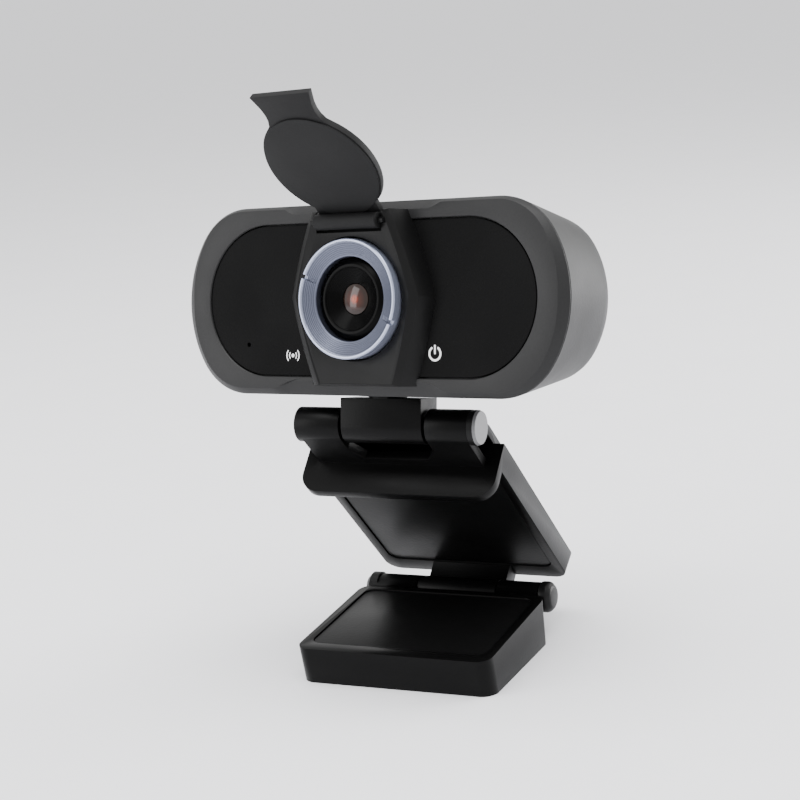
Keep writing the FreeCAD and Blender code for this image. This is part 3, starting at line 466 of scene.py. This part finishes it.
def tone_by_distance(material, reach, stops):
    """Multiply a finish's colour by a ramp of distance from the lens's axis; reach is the ramp's end."""
    nodes, links = material.node_tree.nodes, material.node_tree.links
    shader = nodes["Principled BSDF"]
    distance = nodes.new("ShaderNodeGroup")
    distance.node_tree = AXIS_DISTANCE
    distance.inputs["Centre"].default_value = HEAD.translation
    distance.inputs["Axis"].default_value = joints["focus_turn"]["axis"]
    share = nodes.new("ShaderNodeMath")
    share.operation = "DIVIDE"
    share.inputs[1].default_value = reach * MM
    ramp = nodes.new("ShaderNodeValToRGB")
    elements = ramp.color_ramp.elements
    while len(elements) < len(stops):
        elements.new(0.5)
    for element, (radius, colour) in zip(elements, stops):
        element.position = radius / reach
        element.color = (*colour, 1.0)
    product = nodes.new("ShaderNodeMix")
    product.data_type, product.blend_type = "RGBA", "MULTIPLY"
    product.inputs["Factor"].default_value = 1.0
    links.new(distance.outputs["Distance"], share.inputs[0])
    links.new(share.outputs[0], ramp.inputs["Fac"])
    links.new(shader.inputs["Base Color"].links[0].from_socket, product.inputs["A"])
    links.new(ramp.outputs["Color"], product.inputs["B"])
    links.new(product.outputs["Result"], shader.inputs["Base Color"])


# Painted light on the ring: at each turned line of the cone the colour steps bright, dark, bright, a painted
# highlight and painted shade of a groove, and the rim is painted brighter than the metal as a painted
# highlight.
FIRST_LINE, LINE_STEP, LINES = 9.0, 0.36, 7
cone_painted_bands = [(8.6, (0.30, 0.30, 0.32))]
for line in range(LINES):
    radius = FIRST_LINE + LINE_STEP * line
    cone_painted_bands += [
        (radius, (0.62, 0.62, 0.64)),
        (radius + 0.12, (0.26, 0.26, 0.28)),
        (radius + 0.24, (0.52, 0.52, 0.54)),
    ]
tone_by_distance(finishes["ring"], 13.0, [*cone_painted_bands, (11.5, (0.35, 0.35, 0.36)), (11.65, (1.5, 1.5, 1.5))])
# Painted reflection in the glass: its dark colour is multiplied up to a bright red-brown in the middle and a
# faint cyan-grey further out, in place of the reflections seen in the lens; front_glass and rear_lens both
# carry it.
tone_by_distance(
    finishes["glass"],
    4.0,
    [(0.0, (14.0, 9.0, 5.0)), (0.55, (10.0, 4.0, 2.0)), (1.1, (2.2, 2.0, 2.0)), (2.6, (0.8, 1.2, 1.2))],
)
print("ring and glass toned")

# %% [markdown]
# The floor is one pale plane. It is far larger than the object, so that its edge never shows.

# %% Floor
FLOOR_HALF = 60.0
floor_shape = bmesh.new()
bmesh.ops.create_grid(floor_shape, x_segments=2, y_segments=2, size=FLOOR_HALF)
floor = as_object("floor", floor_shape, Matrix.Identity(4))
floor.data.materials.append(finishes["floor"])
print("floor at 0")

# %% [markdown]
# ## Pieces that keep their CAD shape
# Most of the small parts are right as they are. Those that stay CAD nodes only need a finish. The larger
# ones that catch the light get a merged copy with slightly rounded edges, because a real moulding has no
# razor edge.

# %% Finishes for the CAD nodes
node_finish = {
    "clip": ("foot_cover",),
    "pin": ("clip_pin_cap", "tilt_pin", "cover_pin"),
    "cap": ("tilt_cap",),
    "steel": ("swivel_washer", "swivel_screw", "board_screws", "microphone", "foot_screws", "case_screws"),
    "lens_black": ("lens_barrel", "lens_holder"),
    "board": ("main_board",),
    "sensor": ("image_sensor",),
    "soft_rubber": ("mic_boot", "cable_gland"),
    "clear_pipe": ("light_pipes",),
    "lamp": ("status_leds",),
    "cream": ("cable_header",),
    "brass": ("tripod_nut",),
    "glass": ("front_glass", "rear_lens"),
    "filter": ("ir_filter",),
}
for finish, nodes in node_finish.items():
    for node in nodes:
        mesh = frame["nodes"][node].data
        mesh.materials.clear()
        mesh.materials.append(finishes[finish])


def merged_copy(node, name, flat=0.4):
    """A joined copy of a CAD node: doubles merged, and flat areas made single faces again."""
    shape = bmesh.new()
    shape.from_mesh(frame["nodes"][node].data)
    bmesh.ops.remove_doubles(shape, verts=shape.verts, dist=2e-6)
    bmesh.ops.dissolve_limit(
        shape, angle_limit=math.radians(flat), verts=shape.verts, edges=shape.edges, delimit={"NORMAL"}
    )
    return as_object(name, shape, Matrix.Identity(4))


softened = {
    "foot_shell": ("foot", "clip_plastic", "clip", 0.35),
    "upper_jaw": ("jaw", "clip_plastic", "clip", 0.35),
    "neck_bracket": ("neck", "clip_plastic", "clip", 0.25),
    "foot_pad": ("foot", "pad_rubber", "pad", 0.20),
    "jaw_pad": ("jaw", "pad_rubber", "pad", 0.20),
    "clip_pin": ("foot", "pin_plastic", "pin", 0.40),
}
for node, (body, slot, finish, width) in softened.items():
    copy = soften(merged_copy(node, f"{node}_body"), width)
    hand_over(copy, body, slot, finishes[finish], node)
print(len(softened), "softened copies")

# %% [markdown]
# ## The front bezel
# The frame round the front has flat long sides, bowed ends and a bevel that changes width: narrow along
# most of the top, wider below, and cut back in the middle behind the lens plate. One outline function gives
# matching points at any inset, so the whole piece is a loft from the seam, over the bevel, to the panel's
# opening.

# %% Front bezel
FLAT, CORNER, LIFT = 32.6, 14.5, 5.5
BOW_CENTRE, BOW = 23.95, 24.75
FLAT_STEPS, CORNER_STEPS, BOW_STEPS = 44, 12, 14


def smooth(value, low, high):
    """0 below low, 1 above high, and a smooth ramp between."""
    share = min(1.0, max(0.0, (value - low) / (high - low)))
    return share * share * (3 - 2 * share)


def head_outline():
    """(point, outward normal) pairs all round the head, seen from the front, starting at the top left."""
    turn = math.atan2(LIFT, FLAT - BOW_CENTRE)
    spots = [((-FLAT + 2 * FLAT * step / FLAT_STEPS, 20.0), (0.0, 1.0)) for step in range(FLAT_STEPS)]

    def arc(centre, radius, first, last, steps):
        for step in range(steps):
            angle = first + (last - first) * step / steps
            normal = (math.cos(angle), math.sin(angle))
            spots.append(((centre[0] + radius * normal[0], centre[1] + radius * normal[1]), normal))

    arc((FLAT, LIFT), CORNER, math.pi / 2, turn, CORNER_STEPS)
    arc((BOW_CENTRE, 0), BOW, turn, -turn, 2 * BOW_STEPS)
    arc((FLAT, -LIFT), CORNER, -turn, -math.pi / 2, CORNER_STEPS)
    spots += [((FLAT - 2 * FLAT * step / FLAT_STEPS, -20.0), (0.0, -1.0)) for step in range(FLAT_STEPS)]
    arc((-FLAT, -LIFT), CORNER, -math.pi / 2, turn - math.pi, CORNER_STEPS)
    arc((-BOW_CENTRE, 0), BOW, turn - math.pi, -math.pi - turn, 2 * BOW_STEPS)
    arc((-FLAT, LIFT), CORNER, math.pi - turn, math.pi / 2, CORNER_STEPS)
    return spots


def stadium_outline(half_wide, half_high):
    """Points round a slot shape that match the head outline one to one."""
    reach = half_wide - half_high
    end_steps = 2 * (CORNER_STEPS + BOW_STEPS)
    points = [(-reach + 2 * reach * step / FLAT_STEPS, half_high) for step in range(FLAT_STEPS)]
    for step in range(end_steps):
        angle = math.pi / 2 - math.pi * step / end_steps
        points.append((reach + half_high * math.cos(angle), half_high * math.sin(angle)))
    points += [(reach - 2 * reach * step / FLAT_STEPS, -half_high) for step in range(FLAT_STEPS)]
    for step in range(end_steps):
        angle = -math.pi / 2 - math.pi * step / end_steps
        points.append((-reach + half_high * math.cos(angle), half_high * math.sin(angle)))
    return points


HEAD_OUTLINE = head_outline()


def bevel_width(point, normal):
    """How far the bevel's front edge lies in from the outline at one point."""
    across, upward = point[0], normal[1]
    side = 2.1 * (1 - abs(upward))
    if upward > 0:
        middle = smooth(across, -21.3, -18.5) * (1 - smooth(across, 16.4, 19.5))
        return side + upward * (0.7 + 1.2 * middle)
    middle = smooth(across, -24.0, -19.4) * (1 - smooth(across, 15.9, 20.8))
    return side - upward * (1.3 + 1.7 * middle)


def head_ring(depth, inset):
    """The outline at a depth, moved in by a number or by a rule."""
    ring = []
    for point, normal in HEAD_OUTLINE:
        distance = inset(point, normal) if callable(inset) else inset
        ring.append((point[0] - normal[0] * distance, depth, point[1] - normal[1] * distance))
    return ring


def slot_ring(depth, half_wide, half_high):
    """The panel's outline at a depth."""
    return [(across, depth, up) for across, up in stadium_outline(half_wide, half_high)]


bezel = as_object(
    "bezel",
    lofted(
        [
            head_ring(1.3, 2.5),
            head_ring(1.3, 0.12),
            head_ring(1.15, 0.0),
            head_ring(1.0, 0.0),
            head_ring(-0.28, bevel_width),
            slot_ring(-0.28, 42.12, 16.32),
            slot_ring(-0.05, 41.95, 16.15),
            slot_ring(1.3, 41.95, 16.15),
        ],
        cap_first=False,
        cap_last=False,
    ),
    HEAD,
)
soften(bezel, 0.12, angle=20)
hand_over(bezel, "head", "shell_plastic", finishes["shell"], "front_bezel")
print("bezel faces:", len(bezel.data.polygons))

# %% [markdown]
# ## The front panel and its icons
# Behind the bezel lies a textured panel with the microphone's sound hole. Two plain icons are printed on
# it, sound waves and power. They are thin raised ink: short ring sectors and bars, three hundredths of a
# millimetre high.

# %% Front panel
panel = as_object(
    "panel",
    lofted([slot_ring(1.3, 41.7, 15.9), slot_ring(0.12, 41.7, 15.9), slot_ring(0.0, 41.58, 15.78)]),
    HEAD,
)
sound_hole = turned([(-1.0, 0.0), (-1.0, 0.5), (1.0, 0.5), (1.0, 0.0)], steps=32, closed=False)
hole_tool = as_object("tool", sound_hole, HEAD @ Matrix.Translation((-31.1, 0, -9.4)))
cut(panel, hole_tool)
for face in panel.data.polygons:
    face.use_smooth = True
panel.data.set_sharp_from_angle(angle=math.radians(30))
hand_over(panel, "head", "panel_mesh", finishes["panel"], "front_panel")


def add_sector(shape, radius, width, first, last, steps=20):
    """A flat ring sector between two angles, in degrees, with a little height towards the front."""
    rows = []
    for step in range(steps + 1):
        angle = math.radians(first + (last - first) * step / steps)
        way = Vector((math.cos(angle), 0, math.sin(angle)))
        inner, outer = way * (radius - width / 2), way * (radius + width / 2)
        lift = Vector((0, -0.03, 0))
        rows.append([shape.verts.new(spot) for spot in (inner, outer, outer + lift, inner + lift)])
    for near, far in zip(rows, rows[1:]):
        for side in range(4):
            after = (side + 1) % 4
            shape.faces.new((near[side], near[after], far[after], far[side]))
    shape.faces.new(rows[0])
    shape.faces.new(list(reversed(rows[-1])))


waves = bmesh.new()
add_sector(waves, 0.22, 0.34, 0, 359)
for radius in (0.95, 1.65):
    add_sector(waves, radius, 0.26, -42, 42)
    add_sector(waves, radius, 0.26, 138, 222)
power = bmesh.new()
add_sector(power, 1.35, 0.42, 118, 422, steps=40)
bar = [power.verts.new(spot) for spot in ((-0.2, 0, -0.1), (0.2, 0, -0.1), (0.2, 0, 1.75), (-0.2, 0, 1.75))]
top = [power.verts.new(vert.co + Vector((0, -0.03, 0))) for vert in bar]
power.faces.new(list(reversed(bar)))
power.faces.new(top)
for side in range(4):
    after = (side + 1) % 4
    power.faces.new((bar[side], bar[after], top[after], top[side]))
icons = (("icon_waves", waves, (-18.9, 0, -11.65)), ("icon_power", power, (17.8, 0, -11.1)))
for name, shape, place in icons:
    bmesh.ops.recalc_face_normals(shape, faces=shape.faces)
    icon = as_object(name, shape, HEAD @ Matrix.Translation(place))
    hand_over(icon, "head", "cap_plastic", finishes["print"])
print("panel and two icons")

# %% [markdown]
# ## The lens plate
# The six-sided plate stands proud of the panel: a steep dark wall, then a bevel that narrows to a fine
# ridge, and a face that slopes back towards the bottom. Its sides are slightly bowed. The ring's seat and
# the slot for the cover's knuckle are cut into it.

# %% Lens plate
def plate_ring(corners, steps=6, bulge=0.45):
    """Points down the right side through three corners, bowed outward, and back up the left side."""
    right = []
    for first, second in zip(corners, corners[1:]):
        for step in range(steps):
            share = step / steps
            spot = Vector(first).lerp(Vector(second), share)
            spot.x += bulge * 4 * share * (1 - share)
            right.append(spot)
    right.append(Vector(corners[-1]))
    left = [Vector((-spot.x, spot.y, spot.z)) for spot in reversed(right)]
    return right + left


plate = as_object(
    "plate",
    lofted(
        [
            plate_ring([(11.3, 0.0, 18.15), (18.0, 0.0, 0.3), (13.3, 0.0, -17.8)]),
            plate_ring([(9.9, -5.0, 18.1), (16.2, -3.6, 0.5), (10.9, -2.7, -17.8)]),
            plate_ring([(8.7, -5.7, 17.6), (14.5, -4.55, 0.6), (9.4, -3.3, -17.5)]),
            plate_ring([(8.35, -5.6, 17.3), (14.15, -4.45, 0.6), (9.05, -3.2, -17.3)]),
        ]
    ),
    HEAD,
)
ring_seat = turned(
    [(-9.0, 0.0), (-9.0, 12.75), (-1.3, 12.75), (-1.3, 9.6), (2.0, 9.6), (2.0, 0.0)], closed=False
)
cut(plate, as_object("tool", ring_seat, HEAD), box_tool((-8.3, -9.0, 13.6), (8.3, -2.5, 22.0), HEAD))
soften(plate, 0.10, angle=14)
hand_over(plate, "head", "plate_plastic", finishes["plate"], "lens_plate")
print("plate faces:", len(plate.data.polygons))

# %% [markdown]
# ## The focus ring and the lens
# The ring is a turned part: a bright rim, then a cone that runs in to the lens. Two finger notches cross
# it. The hood inside it is a black cone with a raised grey lip, and the front glass is a low dome deep in
# the hood.

# %% Focus ring and lens
ring = as_object(
    "ring",
    turned(
        [
            (-1.6, 12.3), (-6.25, 12.35), (-6.48, 12.15), (-6.48, 11.75), (-6.15, 11.6),
            (-5.15, 8.75), (-4.9, 8.62), (-1.6, 8.62),
        ],
        steps=160,
    ),
    HEAD,
)
for degrees in (156.5, 336.5):
    notch = HEAD @ Matrix.Rotation(-math.radians(degrees), 4, "Y")
    cut(ring, box_tool((8.0, -7.5, -0.45), (13.5, -5.3, 0.45), notch))
soften(ring, 0.07, angle=25)
hand_over(ring, "focus", "ring_metal", finishes["ring"], "focus_ring")

hood = as_object(
    "hood",
    turned(
        [
            (-1.6, 8.25), (-4.05, 8.25), (-4.45, 7.35), (-4.58, 7.2), (-4.58, 6.65), (-4.45, 6.5),
            (-4.3, 6.45),
            (-2.9, 3.3), (-1.6, 3.15),
        ],
        steps=128,
    ),
    HEAD,
)
soften(hood, 0.05, angle=30)
hand_over(hood, "lens_cell", "lens_black", finishes["lens_black"], "lens_hood")
print("ring and hood")

# %% [markdown]
# ## The rear shell
# The back of the head is one deep moulding: its wall leans in a little and then rolls over into the back.
# The same outline is used again, moved in by a rule of depth, and the holes for the lead and the screws are
# cut through it. A collar for the neck's post is added to it.

# %% Rear shell
DEPTH, ROLL, LEAN = 29.9, 10.5, 0.165
SEAM, LIP = 1.4, 0.15
SCREW_ACROSS, SCREW_RADIUS, GLAND_RADIUS = 39.06, 2.1, 3.66


def shell_inset(depth):
    """How far the shell lies in from the outline at a depth: a lean, then a quarter roll."""
    rolled = max(0.0, depth - (DEPTH - ROLL)) / ROLL
    return LEAN * (depth - SEAM) + ROLL * (1 - math.sqrt(max(0.0, 1 - rolled * rolled)))


depths = [SEAM, 1.5, 3.0, 6.0, 10.0, 14.0, 17.0, DEPTH - ROLL]
depths += [DEPTH - ROLL + ROLL * math.sin(math.radians(angle)) for angle in range(6, 91, 6)]
rings = [head_ring(1.5, 2.2)]
rings += [head_ring(depth, shell_inset(depth) + (LIP if depth == SEAM else 0)) for depth in depths]
rear = as_object("rear", lofted(rings), HEAD)
plug = [(20.0, 0.0), (20.0, SCREW_RADIUS), (40.0, SCREW_RADIUS), (40.0, 0.0)]
tools = [
    as_object("tool", turned(plug, 40, False), HEAD @ Matrix.Translation((side * SCREW_ACROSS, 6, 0)))
    for side in (-1, 1)
]
wide_plug = [(27.0, 0.0), (27.0, GLAND_RADIUS), (40.0, GLAND_RADIUS), (40.0, 0.0)]
tools.append(as_object("tool", turned(wide_plug, 48, False), HEAD @ Matrix.Translation((0, 0, -4))))
cut(rear, *tools)
for face in rear.data.polygons:
    face.use_smooth = True
rear.data.set_sharp_from_angle(angle=math.radians(35))
collar = as_object(
    "post_collar",
    turned([(-20.1, 4.15), (-20.1, 6.3), (-19.9, 6.5), (-15.0, 6.5), (-15.0, 4.15)], 64),
    HEAD @ Matrix.Translation((0, 8.3, 0)) @ Matrix.Rotation(math.pi / 2, 4, "X"),
)
soften(collar, 0.1)
hand_over(rear, "head", "shell_plastic", finishes["shell"], "rear_shell")
hand_over(collar, "head", "shell_plastic", finishes["shell"])
print("shell faces:", len(rear.data.polygons))

# %% [markdown]
# ## The lens cover
# The cover is a thin leaf: a root that carries the hinge knuckle, a round blade, and a flared finger tab. A
# raised disc on its inner face lies over the lens when it is shut. It is drawn shut, hanging from its
# hinge, and its frame turns it to where it rests open.

# %% Lens cover
BLADE, DISC, DROP = 13.0, 12.75, -13.2


def cover_outline():
    """Points round the leaf from the right of its root, round the blade and the tab, and back."""
    right = [(7.85, -0.6), (7.85, -3.3), (8.7, -3.75), (9.3, -4.2)]
    for degrees in range(44, -56, -6):
        angle = math.radians(degrees)
        right.append((BLADE * math.cos(angle), DROP + BLADE * math.sin(angle)))
    right += [(6.9, -24.4), (6.35, -25.8), (6.2, -27.2), (6.4, -28.8), (6.9, -30.4), (7.4, -31.9)]
    return right + [(-across, up) for across, up in reversed(right)]


def leaf(name, outline, near, far, edge):
    """A flat piece between two depths in the cover's frame, with softened rims."""
    rings = [[(across, depth, up) for across, up in outline] for depth in (near, far)]
    piece = as_object(name, lofted(rings), COVER)
    return soften(piece, edge, angle=40, segments=3)


cover = leaf("cover", cover_outline(), -3.05, -1.75, 0.22)
circle = [math.radians(3 * step) for step in range(120)]
disc_outline = [(DISC * math.cos(angle), DROP + DISC * math.sin(angle)) for angle in circle]
disc = leaf("disc", disc_outline, -1.85, -1.35, 0.12)
knuckle = as_object(
    "knuckle",
    turned([(-7.95, 0.62), (-7.95, 1.5), (-7.8, 1.65), (7.8, 1.65), (7.95, 1.5), (7.95, 0.62)], 48),
    COVER @ Matrix.Rotation(math.pi / 2, 4, "Z"),
)
soften(knuckle, 0.08)
hand_over(cover, "cover", "cover_plastic", finishes["cover"], "cover_flap")
hand_over(disc, "cover", "cover_plastic", finishes["cover"])
hand_over(knuckle, "cover", "cover_plastic", finishes["cover"])
print("cover faces:", len(cover.data.polygons))

# %% [markdown]
# ## Fine turned lines, by Geometry Nodes
# The ring's cone and the hood's bore both carry evenly stepped lines left by the lathe. That is a rule, not
# a drawing: a count, a first circle and a last circle. So one tree makes both. It instances a circle on a
# row of points, sets each one's size and depth from its number, and sweeps a thin bead along them.

# %% Stepped lines
def stepped_lines_tree():
    """A node tree of evenly stepped rings about the Y axis, with a thin round bead along each."""
    tree = bpy.data.node_groups.new("stepped_lines", "GeometryNodeTree")
    made = {}
    for label, kind, value in (
        ("Count", "NodeSocketInt", 6),
        ("First Radius", "NodeSocketFloat", 0.0095),
        ("Last Radius", "NodeSocketFloat", 0.0115),
        ("First Depth", "NodeSocketFloat", -0.005),
        ("Last Depth", "NodeSocketFloat", -0.006),
        ("Bead", "NodeSocketFloat", 0.00006),
        ("Finish", "NodeSocketMaterial", None),
    ):
        made[label] = tree.interface.new_socket(label, in_out="INPUT", socket_type=kind)
        if value is not None:
            made[label].default_value = value
    tree.interface.new_socket("Geometry", in_out="OUTPUT", socket_type="NodeSocketGeometry")
    nodes, links = tree.nodes, tree.links
    start, end = nodes.new("NodeGroupInput"), nodes.new("NodeGroupOutput")
    row = nodes.new("GeometryNodeMeshLine")
    links.new(start.outputs["Count"], row.inputs["Count"])
    row.inputs["Offset"].default_value = (0.0, 0.0, 0.0)
    index = nodes.new("GeometryNodeInputIndex")
    last = nodes.new("ShaderNodeMath")
    last.operation = "SUBTRACT"
    last.inputs[1].default_value = 1.0
    links.new(start.outputs["Count"], last.inputs[0])
    share = nodes.new("ShaderNodeMath")
    share.operation = "DIVIDE"
    links.new(index.outputs[0], share.inputs[0])
    links.new(last.outputs[0], share.inputs[1])

    def stepped(first, final):
        ramp = nodes.new("ShaderNodeMapRange")
        links.new(share.outputs[0], ramp.inputs["Value"])
        links.new(start.outputs[first], ramp.inputs["To Min"])
        links.new(start.outputs[final], ramp.inputs["To Max"])
        return ramp.outputs["Result"]

    place = nodes.new("ShaderNodeCombineXYZ")
    links.new(stepped("First Depth", "Last Depth"), place.inputs["Y"])
    moved = nodes.new("GeometryNodeSetPosition")
    links.new(row.outputs["Mesh"], moved.inputs["Geometry"])
    links.new(place.outputs[0], moved.inputs["Position"])
    circle = nodes.new("GeometryNodeCurvePrimitiveCircle")
    circle.inputs["Resolution"].default_value = 128
    copies = nodes.new("GeometryNodeInstanceOnPoints")
    links.new(moved.outputs["Geometry"], copies.inputs["Points"])
    links.new(circle.outputs["Curve"], copies.inputs["Instance"])
    links.new(stepped("First Radius", "Last Radius"), copies.inputs["Scale"])
    copies.inputs["Rotation"].default_value = (math.pi / 2, 0.0, 0.0)
    real = nodes.new("GeometryNodeRealizeInstances")
    links.new(copies.outputs["Instances"], real.inputs["Geometry"])
    bead = nodes.new("GeometryNodeCurvePrimitiveCircle")
    bead.inputs["Resolution"].default_value = 6
    links.new(start.outputs["Bead"], bead.inputs["Radius"])
    sweep = nodes.new("GeometryNodeCurveToMesh")
    links.new(real.outputs["Geometry"], sweep.inputs["Curve"])
    links.new(bead.outputs["Curve"], sweep.inputs["Profile Curve"])
    finish = nodes.new("GeometryNodeSetMaterial")
    links.new(sweep.outputs["Mesh"], finish.inputs["Geometry"])
    links.new(start.outputs["Finish"], finish.inputs["Material"])
    links.new(finish.outputs["Geometry"], end.inputs["Geometry"])
    return tree, {label: socket.identifier for label, socket in made.items()}


STEPPED, STEPPED_INPUTS = stepped_lines_tree()


def stepped_lines(name, values, body, slot, material):
    """Run the tree with its inputs, make the result a plain mesh in the head's frame, and hand it over."""
    holder = bpy.data.objects.new(name, bpy.data.meshes.new(name))
    bpy.context.scene.collection.objects.link(holder)
    modifier = holder.modifiers.new("lines", "NODES")
    modifier.node_group = STEPPED
    for label, value in {**values, "Finish": material}.items():
        modifier[STEPPED_INPUTS[label]] = value
    settle(holder)
    holder.data.transform(HEAD @ Matrix.Scale(1 / MM, 4))
    for face in holder.data.polygons:
        face.use_smooth = True
    print(name, len(holder.data.polygons), "faces")
    return hand_over(holder, body, slot, material)


stepped_lines(
    "ring_lines",
    {
        "Count": 7,
        "First Radius": 0.0093,
        "Last Radius": 0.0113,
        "First Depth": -0.00535,
        "Last Depth": -0.00605,
    },
    "focus",
    "ring_metal",
    finishes["ring"],
)
stepped_lines(
    "hood_ribs",
    {
        "Count": 9,
        "First Radius": 0.0062,
        "Last Radius": 0.0036,
        "First Depth": -0.0042,
        "Last Depth": -0.0030,
    },
    "lens_cell",
    "lens_black",
    finishes["lens_black"],
)
